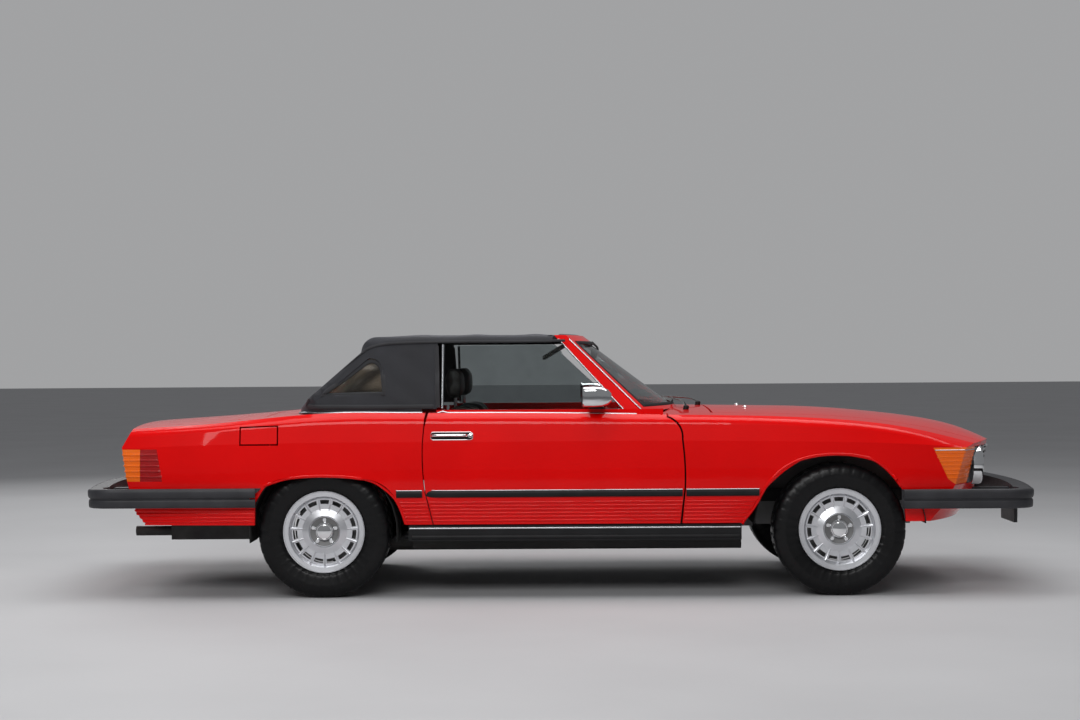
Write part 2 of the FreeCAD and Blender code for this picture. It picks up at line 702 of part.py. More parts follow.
WINDOW_LEAN = math.degrees(math.atan2(size("window_belt_half") - size("window_top_half"),
                                      size("window_top_z") - size("belt_z")))
WINDOW_HEIGHT = ((size("window_top_z") - size("belt_z")) / math.cos(math.radians(WINDOW_LEAN)))
window_rear = DOOR_REAR + 84
GLASS_LOW = SEAM + size("glass") / 2 * math.tan(math.radians(WINDOW_LEAN)) + 0.1
glass_outline = [(window_rear, GLASS_LOW), (291, GLASS_LOW), (10, WINDOW_HEIGHT - 55),
                 (-25, WINDOW_HEIGHT - 8, -70, WINDOW_HEIGHT), (window_rear - 7, WINDOW_HEIGHT)]
door_glass = prism("Door_glass", "XZ", glass_outline, -size("glass") / 2, size("glass") / 2)
door_glass_stood = group("Door_glass_stood", door_glass)
door_glass_stood.Placement = Placement(Vector(0, -size("window_belt_half"), size("belt_z")),
                                       Rotation(Vector(1, 0, 0), -WINDOW_LEAN))
part("door_glass_right", door_glass_stood)
part("door_glass_left", mirrored("Door_glass_left", door_glass_stood))


# ---------------------------------------------------------------- rub strips, handles, mirrors
def strip(name, rear, front):
    raw = box_solid(name + "_raw", (rear, -900, 480), (front, -850, 516))
    return cut(name, raw, body_top)


handle_raw = box_solid("Handle_raw", (DOOR_REAR + 38, -898, 756), (DOOR_REAR + 237, -860, 788))
mirror_foot = box_solid("Mirror_foot", (150, -856, size("belt_z") + SEAM), (210, -778, 912))
mirror_head = box_solid("Mirror_head", (108, -960, 900), (250, -850, 1008))
door_trim = group("Door_trim", strip("Door_strip", DOOR_REAR + 10, DOOR_FRONT - 5),
                  cut("Door_handle", handle_raw, body_top),
                  fuse("Mirror", mirror_foot, mirror_head))
part("door_trim_right", door_trim)
part("door_trim_left", mirrored("Door_trim_left", door_trim))
part("body_trim", both_sides("Body_trim", group("Body_strips",
    strip("Quarter_strip", -772, DOOR_REAR - 4), strip("Fender_strip", DOOR_FRONT + 13, 943))))


# ---------------------------------------------------------------- soft top
def soft_side(d):
    return [(200, 700), (200, 1248 - d), (119, 1250 - d), (-230, 1263 - d, -619, 1262 - d),
            (-760, 1259 - d, -880, 1247 - d), (-932 + d, 1228 - d, -956 + d * 1.2, 1165),
            (-1262 + d * 1.41, 893), (-1262 + d * 1.41, 700)]


def soft_front(d):
    return [(-800 + d, 700), (-800 + d, 893), (-655 + d * 1.1, 1205),
            (-632 + d, 1236 - d, -580, 1247 - d), (0, 1263 - d, 580, 1247 - d),
            (632 - d, 1236 - d, 655 - d * 1.1, 1205), (800 - d, 893), (800 - d, 700)]


def soft_plan(d):
    return [(400, -900 + d), (-1050, -900 + d), (-1060, -800 + d),
            (-1205 + d, -750 + d, -1250 + d, -600), (-1262 + d, 0, -1250 + d, 600),
            (-1205 + d, 750 - d, -1060, 800 - d), (-1050, 900 - d), (400, 900 - d)]


def soft_volume(name, d):
    whole = common(name + "_two", prism(name + "_side", "XZ", soft_side(d), -FAR, FAR),
                   prism(name + "_front", "YZ", soft_front(d), -FAR, FAR))
    return common(name, whole, prism(name + "_plan", "XY", soft_plan(d), 0, FAR))


soft_outer = soft_volume("Soft_outer", 0)
soft_inner = soft_volume("Soft_inner", size("roof_wall"))
pane_outer = soft_volume("Soft_pane_outer", 9)
pane_inner = soft_volume("Soft_pane_inner", 15)
SIDE_HOLE = [(600, 700), (window_rear - size("window_gap") - 7, 700),
             (window_rear - size("window_gap") - 14, size("window_top_z") + 6),
             (600, size("window_top_z") + 6)]
QUARTER_PANE = [(-1130, 966), (-837, 971), (-851, 1086), (-880, 1135, -920, 1143)]


def rear_pane(grow):
    return box_solid("Rear_pane", (-FAR, -390 - grow, 955 - grow), (-900, 390 + grow, 1140 + grow))


door_clear = box_solid("Door_clear", (DOOR_REAR - 10, -FAR, 700), (600, FAR, size("belt_z") + 6))
side_hole = prism("Side_hole", "XZ", SIDE_HOLE, -FAR, FAR)
quarter_hole = prism("Quarter_hole", "XZ", QUARTER_PANE, -FAR, FAR)
rear_hole = rear_pane(0)
part("soft_top", cut("Soft_top", soft_outer, soft_inner, side_hole, quarter_hole, rear_hole,
                     door_clear, *ahead_of_header.Links, body_top))
panes = cut("Pane_shell", pane_outer, pane_inner)
part("soft_top_windows", group("Soft_top_windows", common("Quarter_panes", panes, quarter_hole),
                               common("Rear_window", panes, rear_hole)))

# ---------------------------------------------------------------- bumpers
def bumper_plan(sign, reach, side_end, back):
    """Plan of a wrap-round bumper, its outer face set back. sign is 1 for the nose, -1 for the
    tail."""
    half = size("bumper_half") - back
    inner_half = size("bumper_half") - size("bumper_side")
    nose = reach - back
    corner = nose - size("bumper_bow")
    beam_back = reach - size("bumper_depth")
    inner_corner = beam_back - size("bumper_bow")
    inner_bend = reach - size("bumper_bow") - 80
    outer = [(side_end, -half), (sign * (corner - 110), -half),
             (sign * (corner - 30), -half + 32, sign * corner, -half + 115),
             (sign * nose, 0, sign * corner, half - 115),
             (sign * (corner - 30), half - 32, sign * (corner - 110), half),
             (side_end, half), (side_end, inner_half)]
    inner = [(sign * (inner_bend - 50), inner_half),
             (sign * inner_bend, inner_half - 35, sign * inner_corner, inner_half - 152),
             (sign * beam_back, 0, sign * inner_corner, -inner_half + 152),
             (sign * inner_bend, -inner_half + 35, sign * (inner_bend - 50), -inner_half),
             (side_end, -inner_half)]
    return outer + inner


def bumper(name, sign, side_end, top_z, low_z):
    """A moulded beam with stepped edges and a groove along it, on two arms."""
    reach = LENGTH / 2 - (size("plate_wall") if sign > 0 else 0)
    edge, groove, groove_z = size("bumper_edge"), size("bumper_groove"), top_z - 30
    bands = [(low_z, low_z + edge, edge / 2), (low_z + edge, groove_z - groove, 0),
             (groove_z - groove, groove_z, groove / 2), (groove_z, top_z - edge, 0),
             (top_z - edge, top_z, edge / 2)]
    rings = [prism(f"{name}_ring_{n}", "XY", bumper_plan(sign, reach, side_end, back), low, high)
             for n, (low, high, back) in enumerate(bands)]
    low, high = sorted((sign * (LENGTH / 2 - size("bumper_depth") - 20), sign * 1850))
    arm = cut(name + "_arm", box_solid(name + "_arm_raw", (low, -460, low_z + 20),
                                       (high, -400, top_z - 20)), body_top)
    return fuse(name, *rings, both_sides(name + "_arms", arm))


BUMPER_LOW = size("bumper_top_z") - size("bumper_height")
holder = block("Plate_holder", (f"{LENGTH / 2} - plate_wall - 12", LENGTH / 2),
               ("-plate_width / 2", "plate_width / 2"), ("plate_top_z - plate_height", "plate_top_z"))
bolt_z = size("plate_top_z") - size("bolt_drop")
bolts = [rod(f"Plate_bolt_{n}", "bolt_radius", (LENGTH / 2 + 1, y, bolt_z), (LENGTH / 2 - 30, y, bolt_z))
         for n, y in enumerate((-size("bolt_spacing") / 2, size("bolt_spacing") / 2))]
front_beam = bumper("Front_beam", 1, 1613, size("bumper_top_z"), BUMPER_LOW)
part("front_bumper", cut("Front_bumper", fuse("Front_beam_held", front_beam, holder), *bolts))
rear_beam = bumper("Rear_beam", -1, REAR_AXLE - 290, size("bumper_top_z") + 22, BUMPER_LOW + 22)
beam_end = prism("Rear_beam_end", "XZ", [(REAR_AXLE - 284, 531), (-900, 531), (-900, 400),
                                         (REAR_AXLE - 393, 400), (REAR_AXLE - 393, 438)], -FAR, FAR)
part("rear_bumper", cut("Rear_bumper", rear_beam, beam_end))

# ---------------------------------------------------------------- floor
FLOOR_TOP = "floor_z + floor_wall"
FIREWALL = FRONT_AXLE - 470
CABIN_BACK = REAR_AXLE + 126


def inside(name, member):
    """Trims a pressing to the inside of the outer panels, which it is welded to."""
    return common(name, member, inner)


tub = "tub_half"
floor_slab = block("Floor_slab", (DOOR_REAR - 60, FIREWALL), (f"-{tub}", tub), ("floor_z", FLOOR_TOP))
floor_back = block("Floor_back", (CABIN_BACK, DOOR_REAR - 60), (-600, 600), ("floor_z", FLOOR_TOP))
floor_sides = [block(f"Floor_side_{n}", (DOOR_REAR - 60, FIREWALL), (y0, y1), ("floor_z", 420))
               for n, (y0, y1) in enumerate(((f"-{tub}", f"-{tub} + 40"), (f"{tub} - 40", tub)))]
tunnel = block("Tunnel", (CABIN_BACK, FIREWALL), ("-tunnel_half", "tunnel_half"),
               ("floor_z", "tunnel_z"))
tunnel_bore = block("Tunnel_bore", (-FAR, FAR), ("-tunnel_half + floor_wall", "tunnel_half - floor_wall"),
                    (0, "tunnel_z - floor_wall"))
firewall = block("Firewall", (f"{FIREWALL} - floor_wall", FIREWALL), (f"-{tub}", tub),
                 ("floor_z", "firewall_z"))
wings = block("Firewall_wings", (f"{FIREWALL} - floor_wall", FIREWALL), (-FAR, FAR),
              ("sill_z + seam", "firewall_z"))
kicks = [block(f"Kick_{n}", (DOOR_HINGE - 16, FIREWALL), (y0, y1), ("floor_z", 800))
         for n, (y0, y1) in enumerate(((f"-{tub}", f"-{tub} + 34"), (f"{tub} - 34", tub)))]
back_low = block("Back_low", (CABIN_BACK, f"{CABIN_BACK} + floor_wall"), (-600, 600), ("floor_z", 800))
back_high = block("Back_high", (CABIN_BACK, f"{CABIN_BACK} + floor_wall"), (-FAR, FAR), (655, 800))
trunk_floor = block("Trunk_floor", (-FAR, CABIN_BACK), (-600, 600), (400, "400 + floor_wall"))
trunk_sides = [block(f"Trunk_side_{n}", (TAIL + 60, CABIN_BACK), (y0, y1), (400, 700))
               for n, (y0, y1) in enumerate(((-600, -580), (580, 600)))]
rails = [block(f"Rail_{n}", (f"{FIREWALL} - floor_wall", FAR), (y0, y1), (420, 480))
         for n, (y0, y1) in enumerate(((-378, -330), (330, 378)))]
hinge_leaves = both_sides("Hinge_leaves", fuse("Hinge_leaf_set", *leaves))
tub_body = fuse("Tub_body", floor_slab, floor_back, *floor_sides, tunnel, *kicks, back_low)
pressings = [inside(f"Pressing_{n}", item) for n, item in enumerate(
    (firewall, wings, back_high, trunk_floor, *trunk_sides, *rails))]
part("floor_pan", cut("Floor_pan", fuse("Floor_solid", tub_body, *pressings, hinge_leaves),
                      tunnel_bore))
sill_raw = block("Sill_raw", (-717, FIREWALL), ("-868", f"-{tub} - seam"), (274, "sill_z - shut_gap"))
part("sills", both_sides("Sills", sill_raw))


# ---------------------------------------------------------------- wheels
def origin_plane(body, role):
    return next(f for f in body.Origin.OriginFeatures if f.Role == role)


def body_sketch(body, name, role, points):
    sketch = body.newObject("Sketcher::SketchObject", name)
    sketch.AttachmentSupport = [(origin_plane(body, role), "")]
    sketch.MapMode = "FlatFace"
    sketch.addGeometry(edges(points), False)
    return sketch


def revolved(body, name, points):
    """A profile drawn as (across the car, radius), turned about the axle line."""
    sketch = body_sketch(body, name + "_profile", "XY_Plane", points)
    feature_ = body.newObject("PartDesign::Revolution", name)
    feature_.Profile = sketch
    feature_.ReferenceAxis = (sketch, ["H_Axis"])
    feature_.Angle = 360
    return feature_


def tyre_profile():
    half, radius, rim = size("tyre_width") / 2, size("tyre_radius"), size("rim_radius")
    bead = size("bead_radius") + SEAM
    tread = half - 22
    return [(-half + 20, bead), (-half + 20, rim + 2), (-half + 7, rim + 6),
            (-half + 2, rim + 26, -half, (rim + radius) / 2),
            (-half + 3, radius - 26, -tread, radius - 3), (0, radius, tread, radius - 3),
            (half - 3, radius - 26, half, (rim + radius) / 2), (half - 2, rim + 26, half - 7, rim + 6),
            (half - 20, rim + 2), (half - 20, bead), (half - 36, bead), (half - 28, rim + 30),
            (half - 40, radius - 16),
            (-half + 40, radius - 16), (-half + 28, rim + 30), (-half + 36, bead)]


def rim_profile():
    half, flange, seat = size("rim_width") / 2, size("rim_radius"), size("bead_radius")
    bore = size("hub_bore")
    return [(-half, flange), (-half + 6, flange), (-half + 8, seat), (-34, seat), (-24, seat - 7),
            (10, seat - 7), (20, seat), (half - 8, seat), (half - 6, flange), (half, flange),
            (half - 3, seat - 8), (half - 22, seat - 12), (half - 34, 158), (half - 36, 108),
            (half - 22, 76), (half - 30, 70), (half - 34, 42), (half - 16, 40), (half - 14, 0),
            (half - 24, 0), (half - 24, bore), (half - 88, bore), (half - 88, 68), (half - 62, 78),
            (half - 50, 108), (half - 48, 150), (half - 50, seat - 14), (-half + 4, seat - 12)]


def slot_outline():
    """One ventilation slot, as (around, outward) from the wheel's middle."""
    inner, outer = size("slot_radius") - 10, size("slot_radius") + 10
    return [(-19, inner - 1), (0, inner, 19, inner - 1), (23, outer - 2), (0, outer, -23, outer - 2)]


def rim_body(name, side):
    """A cast rim. side is 1 for the left of the car, where the wheel faces +Y."""
    body = doc.addObject("PartDesign::Body", name)
    revolved(body, name + "_form", [(across * side, radius) for across, radius in rim_profile()])
    doc.recompute()
    sketch = body_sketch(body, name + "_slot_outline", "YZ_Plane", slot_outline())
    slot = body.newObject("PartDesign::Pocket", name + "_slot")
    slot.Profile = sketch
    slot.Type = "ThroughAll"
    slot.Midplane = True
    doc.recompute()
    pattern = body.newObject("PartDesign::PolarPattern", name + "_slots")
    pattern.Originals = [slot]
    pattern.Axis = (origin_axis(body, "X_Axis"), [""])
    pattern.Angle = 360
    pattern.setExpression("Occurrences", "Sizes.slot_count")
    body.Tip = pattern
    return body


def origin_axis(body, role):
    return next(f for f in body.Origin.OriginFeatures if f.Role == role)


def tyre_body(name):
    body = doc.addObject("PartDesign::Body", name)
    body.Tip = revolved(body, name + "_form", tyre_profile())
    return body


WHEELS = [
    ("front_right", FRONT_AXLE, "front_track", -1),
    ("front_left", FRONT_AXLE, "front_track", 1),
    ("rear_right", REAR_AXLE, "rear_track", -1),
    ("rear_left", REAR_AXLE, "rear_track", 1),
]
ACROSS = Rotation(Vector(0, 0, 1), 90)


def place_wheel(body, axle_x, track, side):
    body.Placement = Placement(Vector(axle_x, 0, 0), ACROSS)
    bind(body, "Placement.Base.y", f"{side} * {track} / 2")
    bind(body, "Placement.Base.z", "tyre_radius")


for label, axle_x, track, side in WHEELS:
    tyre = tyre_body("Tyre_" + label)
    place_wheel(tyre, axle_x, track, side)
    part("tyre_" + label, tyre)
    rim = rim_body("Rim_" + label, side)
    place_wheel(rim, axle_x, track, side)
    part("rim_" + label, rim)

# ---------------------------------------------------------------- suspension and steering
ARM_LOW, ARM_HIGH = (AXLE_Z - 118, AXLE_Z - 88), (AXLE_Z + 112, AXLE_Z + 136)
KINGPIN = -size("kingpin_y")


def arm(name, levels, root_y):
    low, high = levels
    blade = prism(name + "_blade", "XY", [
        (FRONT_AXLE - 90, root_y), (FRONT_AXLE - 26, KINGPIN), (FRONT_AXLE, KINGPIN - 26,
        FRONT_AXLE + 26, KINGPIN), (FRONT_AXLE + 90, root_y)], low, high)
    return cut(name, blade, rod(name + "_bore", "kingpin_radius", (FRONT_AXLE, KINGPIN, low),
                                (FRONT_AXLE, KINGPIN, high)))


crossmember = block("Crossmember", (FRONT_AXLE - 60, FRONT_AXLE + 60), (-380.3, 380.3), (197, 300))
tower = block("Tower", (FRONT_AXLE - 60, FRONT_AXLE + 60), (-430, "-378 - seam"), (197, 470))
side_set = fuse("Front_side", tower, arm("Lower_arm", ARM_LOW, -420), arm("Upper_arm", ARM_HIGH, -420))
part("front_axle", fuse("Front_axle", crossmember, side_set, mirrored("Front_side_left", side_set)))

knuckle_pin = rod("Knuckle_pin", "kingpin_radius - running", (FRONT_AXLE, KINGPIN, ARM_LOW[0]),
                  (FRONT_AXLE, KINGPIN, ARM_HIGH[1]))
knuckle_post = block("Knuckle_post", (FRONT_AXLE - 24, FRONT_AXLE + 24), (KINGPIN - 24, KINGPIN + 24),
                     (f"{ARM_LOW[1]} + seam", f"{ARM_HIGH[0]} - seam"))
SPINDLE_END = FRONT_AXLE, -size("front_track") / 2 - size("rim_width") / 2 + 24.5, AXLE_Z
spindle = rod("Spindle", "hub_bore - running", (FRONT_AXLE, KINGPIN, AXLE_Z), SPINDLE_END)
knuckle = fuse("Knuckle", knuckle_pin, knuckle_post, spindle)
part("knuckle_right", knuckle)
part("knuckle_left", mirrored("Knuckle_left", knuckle))

rear_tube = rod("Rear_tube", 40, (REAR_AXLE, -560, AXLE_Z), (REAR_AXLE, 560, AXLE_Z))
rear_end = size("rear_track") / 2 + size("rim_width") / 2 - 24.5
rear_spindle = rod("Rear_spindle", "hub_bore - running", (REAR_AXLE, -rear_end, AXLE_Z),
                   (REAR_AXLE, rear_end, AXLE_Z))
rear_arm = block("Rear_arm", (REAR_AXLE, f"{CABIN_BACK} - seam"), (-500, -440), (AXLE_Z - 22, AXLE_Z + 22))
differential = block("Differential", (REAR_AXLE - 120, REAR_AXLE + 100), (-105, 105),
                     (AXLE_Z - 85, AXLE_Z + 70))
part("rear_axle", fuse("Rear_axle", rear_tube, rear_spindle, both_sides("Rear_arms", rear_arm),
                       differential))

# ---------------------------------------------------------------- engine and driveline
part("engine", block("Engine", (FRONT_AXLE - 350, FRONT_AXLE + 420), (-290, 290), ("300 + seam", 770)))
gearbox = block("Gearbox", (FRONT_AXLE - 1000, FRONT_AXLE - 350 - SEAM), (-95, 95), (275, 385))
shaft = rod("Shaft", 28, (FRONT_AXLE - 1000, 0, AXLE_Z), (REAR_AXLE + 100 + SEAM, 0, AXLE_Z))
part("driveline", fuse("Driveline", gearbox, shaft))
silencer = block("Silencer", (REAR_AXLE - 800, REAR_AXLE - 380), (-460, -120), (252, 385))
hanger = block("Hanger", (REAR_AXLE - 620, REAR_AXLE - 580), (-320, -280), (380, "400 - seam"))
tail_pipe = rod("Tail_pipe", 24, (REAR_AXLE - 990, -380, 290), (REAR_AXLE - 790, -380, 290))
front_pipe = rod("Front_pipe", 24, (FRONT_AXLE - 420, -210, 196), (REAR_AXLE - 330, -210, 196))
riser = rod("Riser", 24, (REAR_AXLE - 330, -210, 196), (REAR_AXLE - 400, -210, 300))
part("exhaust", fuse("Exhaust", silencer, hanger, tail_pipe, front_pipe, riser))

# ---------------------------------------------------------------- cabin fittings
SEAT_MID, SEAT_HALF, HEADREST_HALF = 388, 228, 140
SEAT_SIDE = [(-470, 262.3), (20, 262.3), (60, 300), (70, 440), (20, 478, -60, 470), (-330, 440),
             (-392, 880), (-420, 930, -470, 936), (-540, 936, -566, 880), (-520, 420)]
HEADREST_SIDE = [(-466, 925), (-466, 1060), (-470, 1100, -518, 1104), (-566, 1100, -570, 1050),
                 (-560, 980), (-535, 925)]
seat = fuse("Seat", prism("Seat_form", "XZ", SEAT_SIDE, -SEAT_MID - SEAT_HALF, -SEAT_MID + SEAT_HALF),
            prism("Headrest", "XZ", HEADREST_SIDE, -SEAT_MID - HEADREST_HALF,
                  -SEAT_MID + HEADREST_HALF))
part("seats", both_sides("Seats", seat))
dash_half = size("tub_half") - 34 - SEAM
dash_side = [(330, 640), (300, 700), (305, 800), (330, 838, 380, 850), (520, 856), (560, 800), (520, 640)]
wheel_at = Vector(150, SEAT_MID, 790)
steering_tilt = Rotation(Vector(0, 1, 0), -66)
ring = doc.addObject("Part::Torus", "Steering_ring")
ring.Radius1, ring.Radius2 = 195, 14
ring.Placement = Placement(wheel_at, steering_tilt)
axis_dir = steering_tilt.multVec(Vector(0, 0, 1))
column = rod("Steering_column", 26, tuple(wheel_at), tuple(wheel_at - axis_dir * 175))
column_bore = rod("Column_bore", f"26 + seam", tuple(wheel_at), tuple(wheel_at - axis_dir * (175 + SEAM)))
part("dashboard", cut("Dashboard", prism("Dashboard_form", "XZ", dash_side, -dash_half, dash_half),
                      column_bore))
spoke = box_solid("Steering_spoke", (-20, -190, -8), (20, 190, 8))
spoke.Placement = Placement(wheel_at, steering_tilt).multiply(Placement(Vector(-20, -190, -8), Rotation()))
part("steering_wheel", fuse("Steering_wheel", ring, column, spoke))

# ---------------------------------------------------------------- check and write
doc.recompute()
failed = [obj.Name for obj in doc.Objects if {"Invalid", "Error"} & set(obj.State)]
if failed:
    raise RuntimeError(f"objects that did not build: {failed}")
for name, obj in PARTS.items():
    if obj.Shape.isNull() or not obj.Shape.isValid() or not obj.Shape.Solids:
        raise RuntimeError(f"{name} has no valid solid")
os.makedirs("parts", exist_ok=True)
for name, obj in PARTS.items():
    obj.Shape.exportStep(f"parts/{name}.step")
    print(name, len(obj.Shape.Solids), "solids", round(obj.Shape.Volume / 1000), "cm3")
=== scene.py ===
"""Looks for the two-seat convertible: materials, detailed pieces, studio stage and camera."""
import json
from math import cos, exp, pi, radians, sin, sqrt

import bmesh
import bpy
from mathutils import Matrix, Vector, noise
from mathutils.bvhtree import BVHTree


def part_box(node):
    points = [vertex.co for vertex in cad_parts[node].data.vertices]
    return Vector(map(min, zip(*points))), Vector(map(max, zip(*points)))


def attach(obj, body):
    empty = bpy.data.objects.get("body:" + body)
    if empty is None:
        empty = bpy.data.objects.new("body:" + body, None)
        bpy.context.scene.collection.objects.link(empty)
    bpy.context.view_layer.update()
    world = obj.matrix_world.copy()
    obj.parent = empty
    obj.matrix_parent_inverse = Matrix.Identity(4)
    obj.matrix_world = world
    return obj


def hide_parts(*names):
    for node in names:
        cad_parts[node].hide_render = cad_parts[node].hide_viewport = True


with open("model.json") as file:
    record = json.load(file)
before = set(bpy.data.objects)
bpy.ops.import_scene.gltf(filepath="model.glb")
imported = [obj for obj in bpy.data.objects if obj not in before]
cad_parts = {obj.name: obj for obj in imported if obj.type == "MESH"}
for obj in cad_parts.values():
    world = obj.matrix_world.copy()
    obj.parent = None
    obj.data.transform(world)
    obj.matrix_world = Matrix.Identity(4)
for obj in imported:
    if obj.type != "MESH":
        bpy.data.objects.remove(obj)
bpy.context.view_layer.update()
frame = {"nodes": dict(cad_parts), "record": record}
nodes = frame["nodes"]

# ---------------------------------------------------------------- camera, stage and light
CAMERA_AT = Vector((0.0751, -10.3352, 1.1289))
CAMERA_TURN = 0.0172
CAMERA_ROLL = 0.00696
LENS = 66.667


def placed(name, data):
    """A new object in the scene."""
    obj = bpy.data.objects.new(name, data)
    bpy.context.scene.collection.objects.link(obj)
    return obj


def camera():
    """The photo's own view, fitted to its wheels and outline."""
    data = bpy.data.cameras.new("Camera")
    data.lens = LENS
    data.sensor_width = 36
    data.clip_end = 200
    seen = placed("Camera", data)
    level = Matrix.Rotation(CAMERA_TURN, 4, "Z") @ Matrix.Rotation(pi / 2, 4, "X")
    seen.matrix_world = (
        Matrix.Translation(CAMERA_AT) @ level @ Matrix.Rotation(-CAMERA_ROLL, 4, "Z"))
    bpy.context.scene.camera = seen


def area_light(name, at, target, size, power):
    data = bpy.data.lights.new(name, "AREA")
    data.shape = "RECTANGLE"
    data.size, data.size_y = size
    data.energy = power
    lamp = placed(name, data)
    lamp.location = at
    lamp.rotation_euler = (Vector(target) - Vector(at)).to_track_quat("-Z", "Y").to_euler()


# ---------------------------------------------------------------- material nodes
def add(material, kind, settings=None, **inputs):
    """A shader node with its inputs set, or linked where the value is another node's output."""
    made = material.node_tree.nodes.new("ShaderNode" + kind)
    for key, value in (settings or {}).items():
        setattr(made, key, value)
    wire(material, made, **inputs)
    return made


def wire(material, node, **inputs):
    """Sets or links several inputs of a node."""
    for key, value in inputs.items():
        put(material, node.inputs[key.replace("_", " ")], value)


def put(material, socket, value):
    """Links a socket to another node's output, or sets it to a number or colour."""
    if isinstance(value, bpy.types.NodeSocket):
        material.node_tree.links.new(value, socket)
    else:
        socket.default_value = value


def surface(name, colour, rough, metal=0.0, **sockets):
    """A Principled material; returns it with its shader node."""
    material = bpy.data.materials.new(name)
    material.use_nodes = True
    bsdf = material.node_tree.nodes["Principled BSDF"]
    wire(material, bsdf, Base_Color=(*colour, 1), Roughness=rough, Metallic=metal, **sockets)
    return material, bsdf


def place(material, scale=1.0, stretch=(1, 1, 1)):
    """Object coordinates, stretched, so that a pattern keeps its real size on every piece."""
    coords = add(material, "TexCoord").outputs["Object"]
    return add(material, "Mapping", Vector=coords,
               Scale=[scale * s for s in stretch]).outputs["Vector"]


def noise_of(material, vector, scale, detail=4.0, rough=0.5):
    return add(material, "TexNoise", Vector=vector, Scale=scale, Detail=detail,
               Roughness=rough).outputs["Fac"]


def ramp(material, factor, stops):
    """A colour ramp: stops are (position, colour) pairs."""
    made = add(material, "ValToRGB", Fac=factor)
    elements = made.color_ramp.elements
    while len(elements) < len(stops):
        elements.new(0.5)
    for element, (position, colour) in zip(elements, stops):
        element.position = position
        element.color = (*colour, 1)
    return made.outputs["Color"]


def spread(material, factor, low, high, start=0.0, end=1.0):
    """A number that follows factor between two values."""
    return add(material, "MapRange", Value=factor, From_Min=start, From_Max=end, To_Min=low,
               To_Max=high).outputs["Result"]


def mix(material, factor, one, other):
    """A blend of two colours, each a plain colour or another node's output."""
    made = material.node_tree.nodes.new("ShaderNodeMix")
    made.data_type = "RGBA"
    put(material, made.inputs[0], factor)
    for socket, value in ((made.inputs[6], one), (made.inputs[7], other)):
        put(material, socket, value if isinstance(value, bpy.types.NodeSocket) else (*value, 1))
    return made.outputs[2]


def calc(material, operation, *values):
    """The result of a sum on numbers or other nodes' outputs."""
    made = add(material, "Math", {"operation": operation})
    for socket, value in zip(made.inputs, values):
        put(material, socket, value)
    return made.outputs[0]


def bump(material, height, strength, distance=0.001, normal=None):
    extra = {} if normal is None else {"Normal": normal}
    return add(material, "Bump", Height=height, Strength=strength, Distance=distance,
               **extra).outputs["Normal"]


def wave(material, vector, scale, direction):
    kind = {"wave_type": "BANDS", "bands_direction": direction, "wave_profile": "SIN"}
    return add(material, "TexWave", kind, Vector=vector, Scale=scale, Distortion=0.0).outputs["Fac"]


def worn_colour(material, vector, base, dark, light, scale=6.0):
    """A base colour with soft blotches, darker and lighter."""
    blotch = noise_of(material, vector, scale)
    return ramp(material, blotch, [(0.3, dark), (0.5, base), (0.72, light)])


# ---------------------------------------------------------------- materials
def car_paint():
    """Red enamel under a clear coat, with a faint orange peel."""
    material, bsdf = surface(
        "Red_paint", (0.74, 0.001, 0.001), 0.36, Coat_Weight=0.7, Coat_Roughness=0.025,
        Coat_IOR=1.32, Specular_IOR_Level=0.06)
    at = place(material)
    colour = worn_colour(
        material, at, (0.74, 0.0006, 0.0006), (0.7, 0.0004, 0.0004), (0.78, 0.001, 0.001), 3.0)
    wire(material, bsdf, Base_Color=colour,
         Roughness=spread(material, noise_of(material, at, 40.0), 0.27, 0.38),
         Normal=bump(material, noise_of(material, at, 420.0, 2.0), 0.05, 0.0004))
    return material


def grained(name, colour, rough, grain, depth, dark=0.75, light=1.35, **sockets):
    """Moulded plastic, rubber or leather: blotched colour and a pebbled grain."""
    material, bsdf = surface(name, colour, rough, **sockets)
    at = place(material)
    base = worn_colour(material, at, colour, [c * dark for c in colour],
                       [c * light for c in colour], 9.0)
    cells = add(material, "TexVoronoi", {"feature": "SMOOTH_F1"}, Vector=at, Scale=grain,
                Smoothness=0.4).outputs["Distance"]
    wire(material, bsdf, Base_Color=base, Normal=bump(material, cells, 0.35, depth),
         Roughness=spread(material, noise_of(material, at, 25.0), rough - 0.07, rough + 0.08))
    return material


def woven(name, colour, thread, depth):
    """Cloth of crossed threads, with a soft sheen and faint creases in its colour."""
    material, bsdf = surface(
        name, colour, 0.85, Sheen_Weight=0.25, Sheen_Roughness=0.5, Sheen_Tint=(0.6, 0.6, 0.68, 1))
    at = place(material)
    height = calc(material, "MULTIPLY", *(wave(material, at, 1 / thread, axis) for axis in "XY"))
    tone = noise_of(material, at, 5.0)
    base = ramp(material, tone, [(0.3, [c * 0.72 for c in colour]), (0.55, colour),
                                 (0.75, [c * 1.6 for c in colour])])
    wire(material, bsdf, Base_Color=base, Normal=bump(material, height, 0.5, depth))
    return material


def metal(name, colour, rough, scratches=0.03, metallic=1.0, coat=0.0):
    material, bsdf = surface(name, colour, rough, metallic, Coat_Weight=coat)
    at = place(material)
    haze = noise_of(material, at, 18.0)
    streaks = noise_of(material, at, 55.0)
    wire(material, bsdf,
         Base_Color=ramp(material, haze, [(0.25, [c * 0.9 for c in colour]), (0.7, colour)]),
         Roughness=spread(material, streaks, max(rough - scratches, 0.02), rough + scratches),
         Normal=bump(material, noise_of(material, at, 260.0, 2.0), 0.06, 0.0004))
    return material


